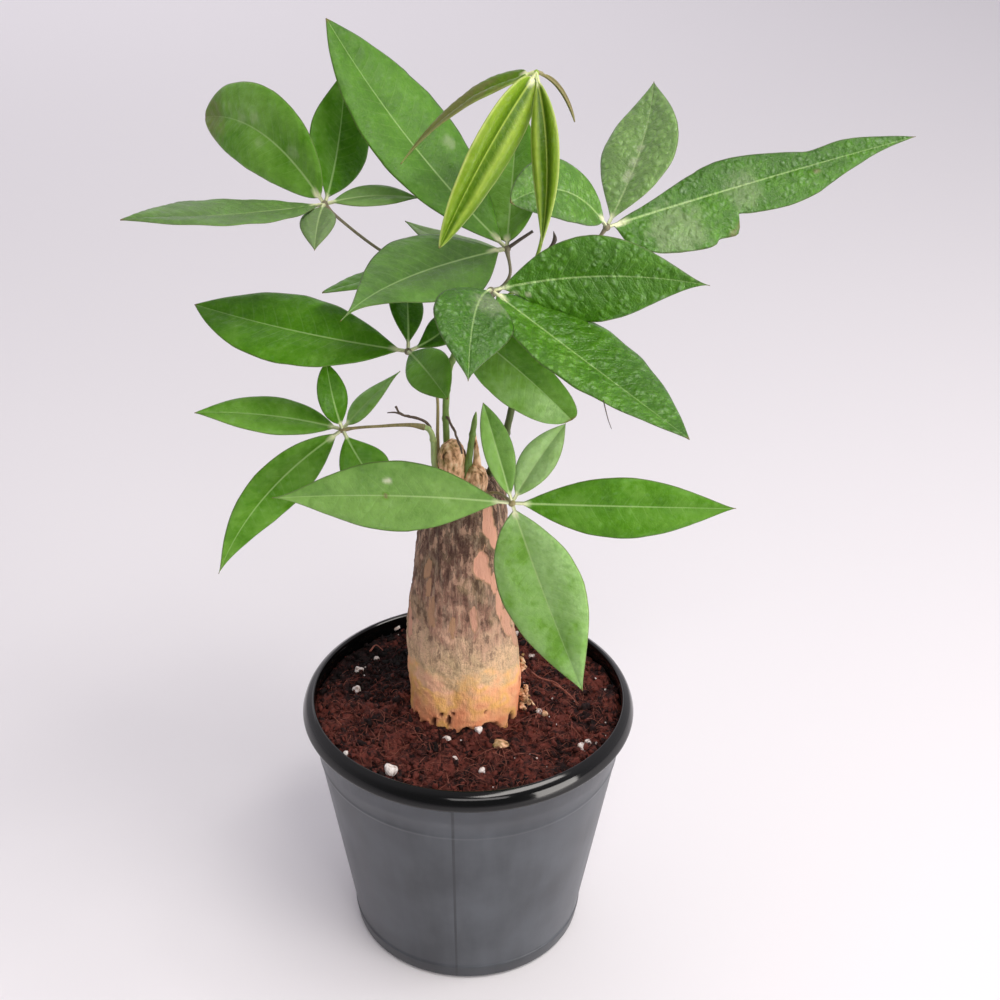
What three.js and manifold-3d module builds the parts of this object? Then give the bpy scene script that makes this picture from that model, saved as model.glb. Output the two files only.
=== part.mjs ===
// A potted money tree: a short sawn trunk in a round nursery pot, with thin green shoots
// at its top that carry hand-shaped leaves. Sizes are in millimetres, +Z is up, and the
// origin is the middle of the pot's flat base. The fullest view of the plant looks along +Y.

import * as THREE from "three";
import { mergeVertices } from "three/addons/utils/BufferGeometryUtils.js";
import Module from "manifold-3d";

const wasm = await Module();
wasm.setup();

// Driving sizes

const GAP = 0.3; // clearance between two pieces that touch

const POT = {
  height: 125,
  rimRadius: 75, // outside of the rolled rim, a 150 mm pot
  rimInner: 69.5, // inner edge of the rim's top face
  lipHeight: 8.5,
  neckRadius: 71.8, // wall just under the rim
  baseRadius: 53.3,
  wall: 1.6,
  floor: 2.2,
  footHeight: 8,
  footStep: 0.5,
  ringHeight: 98, // moulded line round the wall
  ringProud: 0.5,
  drainRadius: 4.5,
  drainCircle: 38,
  drains: 6,
  sides: 48,
};

const SOIL = {
  top: 117,
  hump: 2.5, // the mix rises round the trunk
  lumps: 1.1,
  grain: 2.2, // how far a perlite grain stands out
};

const TRUNK = {
  foot: 60,
  // height, middle x, middle y, half width across, half depth
  rings: [
    [60, -2, 0, 17, 17],
    [80, -2, 0, 21, 20],
    [100, -2, 0, 23.5, 22],
    [112, -2, 0, 25, 24],
    [122, -1.5, 0, 24.5, 24],
    [136, -0.8, 0, 25, 23.5],
    [150, -1.5, 0, 24.5, 22.5],
    [165, -2.6, 0, 23, 21.5],
    [184, -3.2, 0, 21.5, 20.5],
    [202, -2.8, 0, 19.5, 19],
    [216, -2.4, 0, 18, 17.5],
    [226, -2.6, 0, 16.8, 16],
    [233, -3.5, 0, 14, 13.5],
    [237, -4.5, 0, 9.5, 9.5],
  ],
  ribs: 0.9, // how deep the bark is fluted
};

// Sawn-off branch stumps: base, end, radius at base and end
const KNOBS = [
  { from: [-6, -1, 230], to: [-7.5, -5.5, 253], base: 7.5, end: 5.2 },
  { from: [1, -3, 226], to: [3.5, -8.5, 242.5], base: 6.5, end: 4.4 },
];

// Green shoots out of the trunk: route of the middle line, radius at foot and tip
const SHOOTS = {
  shoot_main: {
    route: [[-7, 2, 228], [-9.6, 2, 250], [-9.8, 2, 268], [-8, 2, 284], [-1, 3, 300], [9, 3, 315]],
    foot: 1.5,
    tip: 1.2,
  },
  shoot_left: {
    route: [[-10, -2, 226], [-14.4, -3, 242], [-15, -3, 253], [-16.4, -3, 257.5], [-19.4, -3.5, 259.4]],
    foot: 1.6,
    tip: 1.1,
  },
  shoot_right: {
    route: [[5, 2, 220], [9, 2, 237], [13.8, 2, 249], [16.4, 2, 262], [20, 3, 279]],
    foot: 1.9,
    tip: 1.3,
  },
  shoot_cut: {
    route: [[-1, -6, 226], [-0.8, -6.5, 240], [1, -5.5, 255], [2.6, -5, 267]],
    foot: 1.7,
    tip: 1.1,
  },
};

// Dried brown remains of old leaf stalks
const TWIGS = {
  twig_left: {
    carrier: "shoot_left",
    route: [
      [-15.7, -2.9, 255], [-16.6, -0.6, 258], [-19.4, -0.2, 260.4],
      [-24, -1.2, 262.4], [-28.4, -3, 264.8], [-30, -3, 268],
    ],
    foot: 0.8,
    tip: 0.5,
  },
  twig_front: {
    carrier: "shoot_main",
    route: [[-9.8, 2, 262], [-7.6, -3, 260.4], [-4.6, -9.5, 256.5], [-2.6, -13, 252]],
    foot: 0.7,
    tip: 0.5,
  },
};

// Each leaf has a stalk from its foot to its hub, and leaflets that spread from the hub.
// A leaflet's row holds
//   the x, y and z of its tip, measured from the hub
//   width: the widest across
//   arch and bend: how far the middle of its midrib is lifted, and is moved sideways
//   roll: how far the blade is turned about its midrib, in degrees
//   widest: where it is widest, from 0 at the hub to 1 at the tip
//   slender: small for a blunt blade and large for a pointed one
//   skew: how much wider the right-hand half is than the left, 0 where it isn't given
//   torn: true for the one leaflet whose half widths stand in the list TORN
const LEAVES = {
  leaf_upper_left: {
    hub: [-57.5, 15, 346],
    stalk: [
      [0.5, 3, 302], [-3, 9, 309], [-13, 16, 316],
      [-26, 19, 321], [-36.6, 19, 326.3], [-53.6, 15.5, 341.6],
    ],
    carrier: "shoot_main",
    leaflets: [
      [-66, -55, 11, 36, 0, -4, 0, 0.51, 2.1, 0.05],
      [-54, 51, 20, 33, 11.5, -1.5, -70, 0.52, 1.2, 0.05],
      [6, 39, 44, 27, -9.5, -1, 40, 0.53, 2.4],
      [36, 7, 1, 14, 2, 0, 20, 0.47, 2],
      [0, -36, -6, 14, 2, 0.5, 0, 0.46, 2.2],
    ],
  },
  leaf_crown: {
    hub: [14, 5, 332.5],
    stalk: [[9.3, 3, 315.6], [13, 2.5, 318.5], [15.4, 3, 323]],
    carrier: "shoot_main",
    leaflets: [
      [-71, 36, 79, 40, -4.5, 0, -20, 0.5, 1.9, 0.1],
      [4, 48, 45, 25, 0.5, 0, -20, 0.38, 1.7],
      [-57, -76, 0, 41, -1.5, 12, -20, 0.31, 3.4, -0.05],
      [-41, 23, 3, 17, -3.5, -0.5, 0, 0.46, 2.2],
      [-72, -6, -17, 27, 0, 2, 5, 0.58, 1.9],
    ],
  },
  leaf_young: {
    hub: [23.4, -8, 403.5],
    stalk: [
      [5.5, 3, 310], [13, 2, 313], [22, 5, 321], [27.3, 8, 334.5],
      [27.5, 8.5, 356], [26, 3, 379], [24.4, -4, 395],
    ],
    carrier: "shoot_main",
    leaflets: [
      [-34, -27, -57, 18, 5.5, -4, -80, 0.38, 1.2, -0.05],
      [3, -26, -56, 12, 7.5, -2, 30, 0.44, 2],
      [-49, -4, -33, 15, 4, 3, -5, 0.24, 1.8, 0.05],
      [15, 9, -20, 5, 4, -3.5, 30, 0.55, 2],
    ],
  },
  leaf_upper_right: {
    hub: [53, 15, 338.5],
    stalk: [[20.3, 3.1, 279.8], [24, 5, 290], [35, 10, 312], [50, 14.5, 334]],
    carrier: "shoot_right",
    leaflets: [
      [20, 51, 45, 32, 1.5, 4, -10, 0.48, 2.5],
      [127, 40, 27, 33, 0, -2, 60, 0.32, 1.6, 0.2, true],
      [-38, -33, 20, 26, 9, 2, -55, 0.47, 1.3],
    ],
  },
  leaf_front_right: {
    hub: [8.3, -32, 329.5],
    stalk: [[-2.5, 3, 298], [3, -5, 304], [7.5, -17, 315], [8.5, -28, 326]],
    carrier: "shoot_main",
    leaflets: [
      [79, -10, 7, 33, 4, -1.5, 85, 0.45, 2.9, 0.05],
      [69, -62, -29, 40, -2, -2.5, 0, 0.42, 1.8, -0.1],
      [-7, -50, -14, 30, 9, 1.5, -20, 0.53, 2.9],
    ],
  },
  leaf_middle_left: {
    hub: [-24, -12, 296],
    stalk: [[-12, 0.5, 230], [-13.2, 0, 251], [-13.2, 0, 270], [-14.5, -1.5, 281], [-19, -7, 291]],
    carrier: "trunk",
    leaflets: [
      [-87, 23, 9, 37, -0.5, -3, -25, 0.51, 2],
      [-3, 34, 17, 15, 2.5, 0.5, 20, 0.53, 2.2, -0.1],
      [17, -39, -2, 18, 2.5, 1, 35, 0.51, 1.9, -0.1],
      [18, 24, 7, 13, 0, 3.5, 30, 0.57, 2.1],
    ],
  },
  leaf_lower_left: {
    hub: [-51.6, -6, 258.5],
    stalk: [[-19.4, -3.5, 259.4], [-23, -4, 260], [-29, -4.5, 260.2], [-36.4, -5, 259.8], [-44, -5.5, 259.4]],
    carrier: "shoot_left",
    leaflets: [
      [-59, -3, 8, 20, 1, 3, -25, 0.45, 2],
      [-6, 5, 27, 13, 3, -3.5, -20, 0.5, 1.5],
      [23, 12, 21, 12, 2, 2, 10, 0.32, 2.2, -0.05],
      [-54, -8, -65, 23, 8, -4, -100, 0.38, 2.3, -0.1],
      [18, -13, -24, 22, 2, 3, 20, 0.55, 2],
    ],
  },
  leaf_inner: {
    hub: [-8, -8, 309],
    stalk: [[-6, 2.3, 289], [-6, -3, 294], [-7, -7, 302]],
    carrier: "shoot_main",
    leaflets: [
      [48, -26, -31, 26, 7.5, 8, 85, 0.55, 0.9, 0.2],
    ],
  },
  leaf_lower_front: {
    hub: [17.6, -35, 241.7],
    stalk: [[5, -2, 222], [8.5, -12, 233], [12, -22, 239], [15, -30, 241.5]],
    carrier: "trunk",
    leaflets: [
      [-95, 1, 0, 31, 2.5, -0.5, -85, 0.46, 2.9],
      [89, 2, -2, 26, -0.5, -0.5, 80, 0.47, 2.4, 0.05],
      [30, -23, -74, 38, -5.5, -4.5, 70, 0.44, 2.1],
      [-12, 16, 36, 14, 2.5, -1.5, -15, 0.49, 1.9],
      [21, 21, 25, 15, 2.5, 1, 25, 0.46, 2],
    ],
  },
};

// The torn leaflet: share of its length, then half width left and right of the midrib. Its
// right-hand margin steps in where a strip is missing.
const TORN = [
  [0, 0, 0], [0.03, 1.5, 10.5], [0.06, 2.5, 13], [0.1, 3.6, 16], [0.15, 5.3, 18], [0.2, 7.3, 19.5],
  [0.25, 9.2, 20.3], [0.29, 10.5, 19.8], [0.3, 11, 18.5], [0.36, 12.2, 18.7], [0.375, 12.3, 16],
  [0.38, 12.3, 11], [0.42, 12, 11.8], [0.5, 10.4, 13], [0.55, 9, 13.3], [0.6, 7.6, 12.8],
  [0.65, 6, 11.6], [0.7, 6.2, 9.2], [0.75, 6.8, 6.9], [0.8, 6.3, 5], [0.85, 5.1, 3],
  [0.9, 3.6, 1.6], [0.95, 2, 0.7], [1, 0, 0],
];

const BLADE = {
  thickness: 0.8,
  fold: 10, // degrees that each half rises from the midrib
  curl: 0.12, // share of the half width that the margin turns back down
  ripple: 0.03, // wave of the margin, as a share of the half width
  rippleLength: 17, // length of one wave
  station: 10, // mean length between two cross-sections
  crowd: 0.6, // how much closer together they are at the two ends
  stalk: 3, // bare length between the hub and the blade
  least: 0.75, // half width of the bare stalk and the tip
};

const STALK = { foot: 1, hub: 0.75, sides: 6, step: 9, knuckle: 2 };

const COLOURS = {
  pot: { color: "#55565b", roughness: 0.45, metalness: 0 },
  soil: { color: "#44231e", roughness: 0.95, metalness: 0 },
  bark: { color: "#7d5846", roughness: 0.9, metalness: 0 },
  shoot: { color: "#6f8045", roughness: 0.6, metalness: 0 },
  twig: { color: "#5b4338", roughness: 0.85, metalness: 0 },
  leaf: { color: "#4f8a34", roughness: 0.45, metalness: 0 },
  youngLeaf: { color: "#9dbb45", roughness: 0.45, metalness: 0 },
};

// Solids and meshes

const vector = (p) => new THREE.Vector3(...p);
const mix = THREE.MathUtils.lerp;
const UP = new THREE.Vector3(0, 0, 1);

// A closed surface as a solid that can be joined and cut.
function solid(geometry) {
  const bare = geometry.clone();
  bare.deleteAttribute("normal");
  bare.deleteAttribute("uv");
  const merged = mergeVertices(bare, 1e-4);
  return new wasm.Manifold(new wasm.Mesh({
    numProp: 3,
    vertProperties: new Float32Array(merged.attributes.position.array),
    triVerts: new Uint32Array(merged.index.array),
  }));
}

function geometryOf(manifold) {
  const mesh = manifold.getMesh();
  const geometry = new THREE.BufferGeometry();
  geometry.setAttribute("position", new THREE.BufferAttribute(mesh.vertProperties, 3));
  geometry.setIndex(new THREE.BufferAttribute(mesh.triVerts, 1));
  geometry.computeVertexNormals();
  return geometry;
}

// A skin over equal rings of points, with a flat fan over each end. Every ring runs
// anticlockwise as seen from the last ring. leans(j) says which way the quads split.
function loft(rings, leans = () => false) {
  const count = rings[0].length;
  const positions = rings.flat().flatMap((p) => [p.x, p.y, p.z]);
  const at = (i, j) => i * count + (j % count);
  const faces = [];
  for (let i = 0; i < rings.length - 1; i += 1) {
    for (let j = 0; j < count; j += 1) {
      const [a, b, c, d] = [at(i, j), at(i, j + 1), at(i + 1, j + 1), at(i + 1, j)];
      if (leans(j)) {
        faces.push(a, b, d, b, c, d);
      } else {
        faces.push(a, b, c, a, c, d);
      }
    }
  }
  const last = rings.length - 1;
  for (let j = 1; j < count / 2; j += 1) {
    const k = count - j;
    faces.push(at(0, j - 1), at(0, k), at(0, j), at(last, j - 1), at(last, j), at(last, k));
    if (k - 1 > j) {
      faces.push(at(0, j), at(0, k), at(0, k - 1), at(last, j), at(last, k - 1), at(last, k));
    }
  }
  const geometry = new THREE.BufferGeometry();
  geometry.setAttribute("position", new THREE.Float32BufferAttribute(positions, 3));
  geometry.setIndex(faces);
  return geometry;
}

// A tapered stem along a smooth line through the route's points. extra thickens it, and
// reach carries both ends further along the line.
function stem(route, foot, tip, extra = 0, reach = 0) {
  const curve = new THREE.CatmullRomCurve3(route.map(vector), false, "centripetal");
  const steps = Math.max(2, Math.round(curve.getLength() / STALK.step));
  const frames = curve.computeFrenetFrames(steps, false);
  const rings = [];
  for (let i = 0; i <= steps; i += 1) {
    const t = i / steps;
    const centre = curve.getPointAt(t);
    const shift = (i === steps ? reach : 0) - (i === 0 ? reach : 0);
    centre.addScaledVector(frames.tangents[i], shift);
    const radius = mix(foot, tip, t) + extra;
    const ring = [];
    for (let j = 0; j < STALK.sides; j += 1) {
      const angle = (2 * Math.PI * j) / STALK.sides;
      ring.push(centre.clone()
        .addScaledVector(frames.normals[i], radius * Math.cos(angle))
        .addScaledVector(frames.binormals[i], radius * Math.sin(angle)));
    }
    rings.push(ring);
  }
  return solid(loft(rings));
}

function ball(centre, radius) {
  const sphere = new THREE.IcosahedronGeometry(radius, 1);
  sphere.translate(...centre);
  return solid(sphere);
}

// Half width of a blade at u, from 0 at the stalk to 1 at the tip, left of its midrib where v
// is negative and right of it where v is positive.
function outline(u, v, leaflet) {
  if (leaflet.torn) {
    const next = Math.max(1, TORN.findIndex(([share]) => share >= u));
    const [low, high] = [TORN[next - 1], TORN[next]];
    const column = v > 0 ? 2 : 1;
    return mix(low[column], high[column], (u - low[0]) / (high[0] - low[0]));
  }
  const { width, widest, slender, skew } = leaflet;
  const shape = ((u / widest) ** widest * ((1 - u) / (1 - widest)) ** (1 - widest)) ** slender;
  return (width / 2) * shape * (1 + Math.sign(v) * skew);
}

function readLeaflet([x, y, z, width, arch, bend, roll, widest, slender, skew = 0, torn = false]) {
  return { tip: [x, y, z], width, arch, bend, roll, widest, slender, skew, torn };
}

// A thin blade on a curved midrib: a shallow V across, its margins waved and turned down.
function blade(hub, leaflet, phase) {
  const chord = vector(leaflet.tip);
  const length = chord.length();
  const along = chord.clone().normalize();
  const rise = UP.clone().addScaledVector(along, -UP.dot(along)).normalize();
  const side = along.clone().cross(rise);
  const tip = hub.clone().add(chord);
  const middle = hub.clone().addScaledVector(chord, 0.5)
    .addScaledVector(rise, 2 * leaflet.arch)
    .addScaledVector(side, 2 * leaflet.bend);
  const midrib = new THREE.QuadraticBezierCurve3(hub, middle, tip);
  const roll = THREE.MathUtils.degToRad(leaflet.roll);
  const facing = rise.clone().multiplyScalar(Math.cos(roll)).addScaledVector(side, Math.sin(roll));
  const fold = THREE.MathUtils.degToRad(BLADE.fold);
  const stations = Math.max(5, Math.round(length / BLADE.station));
  const across = [-1, -0.5, 0, 0.5, 1];
  const rings = [];
  for (let i = 0; i <= stations; i += 1) {
    const even = i / stations;
    const t = even - (BLADE.crowd * Math.sin(2 * Math.PI * even)) / (2 * Math.PI);
    const u = THREE.MathUtils.clamp((t * length - BLADE.stalk) / (length - BLADE.stalk), 0, 1);
    const centre = midrib.getPoint(t);
    const forward = midrib.getTangent(t);
    const right = forward.clone().cross(facing).normalize();
    const normal = right.clone().cross(forward);
    const wave = Math.sin((2 * Math.PI * t * length) / BLADE.rippleLength + phase);
    const section = across.map((v) => {
      const reach = Math.max(outline(u, v, leaflet), BLADE.least);
      const lift = Math.abs(v) * Math.sin(fold) - BLADE.curl * v ** 4
        + BLADE.ripple * wave * v ** 2 * Math.sign(v);
      return centre.clone()
        .addScaledVector(right, v * reach * Math.cos(fold))
        .addScaledVector(normal, lift * reach);
    });
    const face = section.map((p) => p.clone().addScaledVector(normal, BLADE.thickness / 2));
    const back = section.map((p) => p.clone().addScaledVector(normal, -BLADE.thickness / 2));
    rings.push([...face, ...back.reverse()]);
  }
  return solid(loft(rings, (j) => j >= across.length - 1));
}

// Pieces

const shootSolid = (name, extra = 0, reach = 0) => {
  const { route, foot, tip } = SHOOTS[name];
  return stem(route, foot, tip, extra, reach);
};

function leafStalk(leaf, extra = 0, reach = 0) {
  return stem([...leaf.stalk, leaf.hub], STALK.foot, STALK.hub, extra, reach);
}

function leafSolid(leaf, order) {
  const hub = vector(leaf.hub);
  const stalk = leafStalk(leaf).add(ball(leaf.hub, STALK.knuckle));
  const blades = leaf.leaflets.map((row, i) => blade(hub, readLeaflet(row), order * 1.7 + i * 2.3));
  const joined = blades.reduce((whole, one) => whole.add(one), stalk);
  if (leaf.carrier === "trunk") {
    return joined;
  }
  return joined.subtract(shootSolid(leaf.carrier, GAP, GAP));
}

function trunkRing([z, x, y, halfWidth, halfDepth], extra) {
  const sides = 24;
  const ring = [];
  for (let j = 0; j < sides; j += 1) {
    const angle = (2 * Math.PI * j) / sides;
    const flute = TRUNK.ribs * (Math.sin(3 * angle + z / 35) + 0.6 * Math.sin(7 * angle - z / 18));
    const fade = Math.min(1, halfWidth / 20);
    ring.push(new THREE.Vector3(
      x + (halfWidth + extra + flute * fade) * Math.cos(angle),
      y + (halfDepth + extra + flute * fade) * Math.sin(angle),
      z,
    ));
  }
  return ring;
}

function trunkBody(extra = 0) {
  const rings = TRUNK.rings.map((ring) => trunkRing(ring, extra));
  const foot = rings[0].map((p) => new THREE.Vector3(p.x, p.y, TRUNK.foot - extra));
  return solid(loft([foot, ...rings.slice(1)]));
}

function knob({ from, to, base, end }) {
  const start = vector(from);
  const axis = vector(to).sub(start);
  const height = axis.length();
  const stump = new THREE.CylinderGeometry(end, base, height, 14, 1);
  stump.rotateX(Math.PI / 2);
  stump.translate(0, 0, height / 2);
  stump.applyQuaternion(new THREE.Quaternion().setFromUnitVectors(UP, axis.normalize()));
  stump.translate(...from);
  return solid(stump);
}

function trunk() {
  const whole = KNOBS.reduce((body, stump) => body.add(knob(stump)), trunkBody());
  const ownLeaves = Object.values(LEAVES).filter((leaf) => leaf.carrier === "trunk");
  const sockets = [
    ...Object.keys(SHOOTS).map((name) => shootSolid(name, GAP, GAP)),
    ...ownLeaves.map((leaf) => leafStalk(leaf, GAP, GAP)),
  ];
  return sockets.reduce((body, socket) => body.subtract(socket), whole);
}

function pot() {
  const { height, rimRadius, rimInner, lipHeight, neckRadius, baseRadius, wall } = POT;
  const lipBase = height - lipHeight;
  const slope = (neckRadius - baseRadius) / lipBase;
  const outer = (z) => baseRadius + slope * z;
  const profile = [
    [0, 0],
    [baseRadius - 2, 0],
    [outer(0) - 0.5, 0.8],
    [outer(2), 2.4],
    [outer(POT.footHeight), POT.footHeight],
    [outer(POT.footHeight) - POT.footStep, POT.footHeight + 0.8],
    [outer(POT.ringHeight - 1.5) - POT.footStep, POT.ringHeight - 1.5],
    [outer(POT.ringHeight) + POT.ringProud, POT.ringHeight],
    [outer(POT.ringHeight + 1.5) - POT.footStep, POT.ringHeight + 1.5],
    [neckRadius - POT.footStep, lipBase],
    [rimRadius - 1.2, lipBase - 0.4],
    [rimRadius - 0.2, lipBase + 1],
    [rimRadius, height - 3.4],
    [rimRadius - 0.8, height - 1.2],
    [rimRadius - 2.6, height],
    [rimInner + 0.8, height],
    [rimInner - 0.6, height - 1.4],
    [neckRadius - wall, lipBase - 1],
    [baseRadius - wall, POT.floor + 1],
    [baseRadius - wall - 1.5, POT.floor],
    [0, POT.floor],
  ];
  const shell = new THREE.LatheGeometry(profile.map(([r, z]) => new THREE.Vector2(r, z)), POT.sides);
  shell.rotateX(Math.PI / 2);
  let body = solid(shell);
  for (let i = 0; i < POT.drains; i += 1) {
    const angle = (2 * Math.PI * (i + 0.5)) / POT.drains;
    const drain = new THREE.CylinderGeometry(POT.drainRadius, POT.drainRadius, 3 * POT.floor, 16);
    drain.rotateX(Math.PI / 2);
    drain.translate(POT.drainCircle * Math.cos(angle), POT.drainCircle * Math.sin(angle), POT.floor / 2);
    body = body.subtract(solid(drain));
  }
  return body;
}

// Perlite grains that lie on the mix: x, y and radius
const GRAINS = [
  [-37, 56, 2.2], [-45, 39, 1.8], [-52, 22, 2.4], [-52, 10, 2.4], [-52, -39, 2.0], [-32, -51, 3.4],
  [-9, -29, 2.2], [5, -25, 2.2], [-5, -41, 2.0], [7, -49, 2.0], [50, -33, 2.4], [53, -27, 1.8],
  [32, -7, 2.0], [29, 37, 1.8], [2, 52, 2.4], [-20, 50, 1.8], [47, 22, 2.2], [22, 56, 1.8],
];

function soilHeight(x, y) {
  const radius = Math.hypot(x, y);
  const clods = Math.sin(x / 5.3 + 1.1) * Math.sin(y / 4.7) + 0.6 * Math.sin(x / 2.9 - y / 3.7);
  const hump = SOIL.hump * Math.exp(-(((radius - 24) / 14) ** 2));
  const grains = GRAINS.reduce((sum, [gx, gy, r]) => {
    const away = Math.hypot(x - gx, y - gy) / r;
    return sum + SOIL.grain * Math.exp(-(away ** 2));
  }, 0);
  return SOIL.top + SOIL.lumps * clods + hump + grains;
}

// The mix fills the pot up to its lumpy top, and the trunk stands in a hole in it.
function soil() {
  const wallAt = (z) => POT.baseRadius - POT.wall - GAP
    + ((POT.neckRadius - POT.baseRadius) * (z - POT.floor)) / (POT.height - POT.lipHeight - POT.floor);
  const sides = 44;
  const ringAt = (radius, height) => {
    const ring = [];
    for (let j = 0; j < sides; j += 1) {
      const angle = (2 * Math.PI * j) / sides;
      const x = radius * Math.cos(angle);
      const y = radius * Math.sin(angle);
      ring.push(new THREE.Vector3(x, y, height ?? soilHeight(x, y)));
    }
    return ring;
  };
  const bottom = POT.floor + GAP;
  const edge = wallAt(SOIL.top - 3) - 0.6;
  const rings = [
    ringAt(POT.baseRadius - POT.wall - 3, bottom),
    ringAt(wallAt(bottom + 2) - 0.4, bottom + 2),
    ringAt(wallAt(SOIL.top - 3) - 0.2, SOIL.top - 3),
  ];
  for (let radius = edge; radius > 16; radius -= 5.2) {
    rings.push(ringAt(radius));
  }
  rings.push(ringAt(14, SOIL.top));
  const filling = solid(loft(rings));
  return filling.subtract(trunkBody(GAP));
}

// Assembly

const plant = new THREE.Group();
plant.name = "potted_money_tree";

function addPiece(name, manifold, finish) {
  const mesh = new THREE.Mesh(geometryOf(manifold), new THREE.MeshStandardMaterial(finish));
  mesh.name = name;
  plant.add(mesh);
}

addPiece("pot", pot(), COLOURS.pot);
addPiece("soil", soil(), COLOURS.soil);
addPiece("trunk", trunk(), COLOURS.bark);
for (const name of Object.keys(SHOOTS)) {
  addPiece(name, shootSolid(name), COLOURS.shoot);
}
for (const [name, { carrier, route, foot, tip }] of Object.entries(TWIGS)) {
  addPiece(name, stem(route, foot, tip).subtract(shootSolid(carrier, GAP, GAP)), COLOURS.twig);
}
Object.entries(LEAVES).forEach(([name, leaf], order) => {
  const finish = name === "leaf_young" ? COLOURS.youngLeaf : COLOURS.leaf;
  addPiece(name, leafSolid(leaf, order), finish);
});

export default plant;
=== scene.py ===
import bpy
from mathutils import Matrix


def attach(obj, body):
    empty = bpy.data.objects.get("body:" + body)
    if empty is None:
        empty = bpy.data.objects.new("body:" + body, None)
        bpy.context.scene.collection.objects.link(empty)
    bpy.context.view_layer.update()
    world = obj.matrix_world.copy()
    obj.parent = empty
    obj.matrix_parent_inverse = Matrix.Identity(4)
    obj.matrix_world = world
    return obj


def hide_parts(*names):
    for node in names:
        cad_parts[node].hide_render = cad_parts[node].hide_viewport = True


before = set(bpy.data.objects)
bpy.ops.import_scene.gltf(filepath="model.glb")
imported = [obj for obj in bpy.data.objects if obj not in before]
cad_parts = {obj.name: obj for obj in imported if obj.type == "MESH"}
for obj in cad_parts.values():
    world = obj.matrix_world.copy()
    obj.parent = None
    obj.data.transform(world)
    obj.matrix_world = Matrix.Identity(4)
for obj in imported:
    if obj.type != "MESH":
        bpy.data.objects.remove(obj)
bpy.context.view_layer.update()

# The looks of a potted money tree: waxy leaves with their veins, streaked and peeling bark,
# a moist coir mix with perlite, and a satin plastic pot with a glossy rolled rim.
# Shapes are worked out in millimetres from the sizes below, and become metres in piece().

from types import SimpleNamespace

import bpy
import numpy as np
from mathutils import Matrix, Vector

MM = 0.001
PI = np.pi
# Large primes that scatter the lattice points of noise
PRIMES = (73856093, 19349663, 83492791)

# Driving sizes, as in the solids

POT = SimpleNamespace(
    height=125, rim_radius=75, rim_inner=69.5, lip_height=8.5, neck_radius=71.8, base_radius=53.3,
    wall=1.6, floor=2.2, foot_height=8, foot_step=0.5, ring_height=98, ring_proud=0.35,
    drain_radius=4.5, drain_circle=38, drains=6,
)

SOIL = SimpleNamespace(
    top=117, hump=2.5, lumps=1.1, hollow=3, inner=24.5, outer=68.3, crumbs=5200, hairs=1500,
    long_hairs=90, small_grains=46,
)

# height, middle x, middle y, half width across, half depth
TRUNK_RINGS = [
    [60, -2, 0, 17, 17], [80, -2, 0, 21, 20], [100, -2, 0, 23.5, 22], [112, -2, 0, 25, 24],
    [122, -1.5, 0, 24.5, 24], [136, -0.8, 0, 25, 23.5], [150, -1.5, 0, 24.5, 22.5],
    [165, -2.6, 0, 23, 21.5], [184, -3.2, 0, 21.5, 20.5], [202, -2.8, 0, 19.5, 19],
    [216, -2.4, 0, 18, 17.5], [226, -2.6, 0, 16.8, 16], [233, -3.5, 0, 14, 13.5],
    [237, -4.5, 0, 9.5, 9.5],
]

# Sawn-off branch stumps: start and end of the middle line, radius at its start and end
KNOBS = [
    ([-6, -1, 230], [-7.5, -5.5, 253], 7.5, 5.2),
    ([1, -3, 226], [3.5, -8.5, 242.5], 6.5, 4.4),
]

# Shoots and dried leaf stalks: radius at foot and tip, and route
SHOOTS = {
    "shoot_main": (1.5, 1.2, [
        [-7, 2, 228], [-9.6, 2, 250], [-9.8, 2, 268], [-8, 2, 284], [-1, 3, 300], [9, 3, 315],
    ]),
    "shoot_left": (1.6, 1.1, [
        [-10, -2, 226], [-14.4, -3, 242], [-15, -3, 253], [-16.4, -3, 257.5], [-19.4, -3.5, 259.4],
    ]),
    "shoot_right": (1.9, 1.3, [[5, 2, 220], [9, 2, 237], [13.8, 2, 249], [16.4, 2, 262], [20, 3, 279]]),
    "shoot_cut": (1.7, 1.1, [[-1, -6, 226], [-0.8, -6.5, 240], [1, -5.5, 255], [2.6, -5, 267]]),
}

TWIGS = {
    "twig_left": (0.8, 0.5, [
        [-15.7, -2.9, 255], [-16.6, -0.6, 258], [-19.4, -0.2, 260.4],
        [-24, -1.2, 262.4], [-28.4, -3, 264.8], [-30, -3, 268],
    ]),
    "twig_front": (0.7, 0.5, [[-9.8, 2, 262], [-7.6, -3, 260.4], [-4.6, -9.5, 256.5], [-2.6, -13, 252]]),
}

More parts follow.
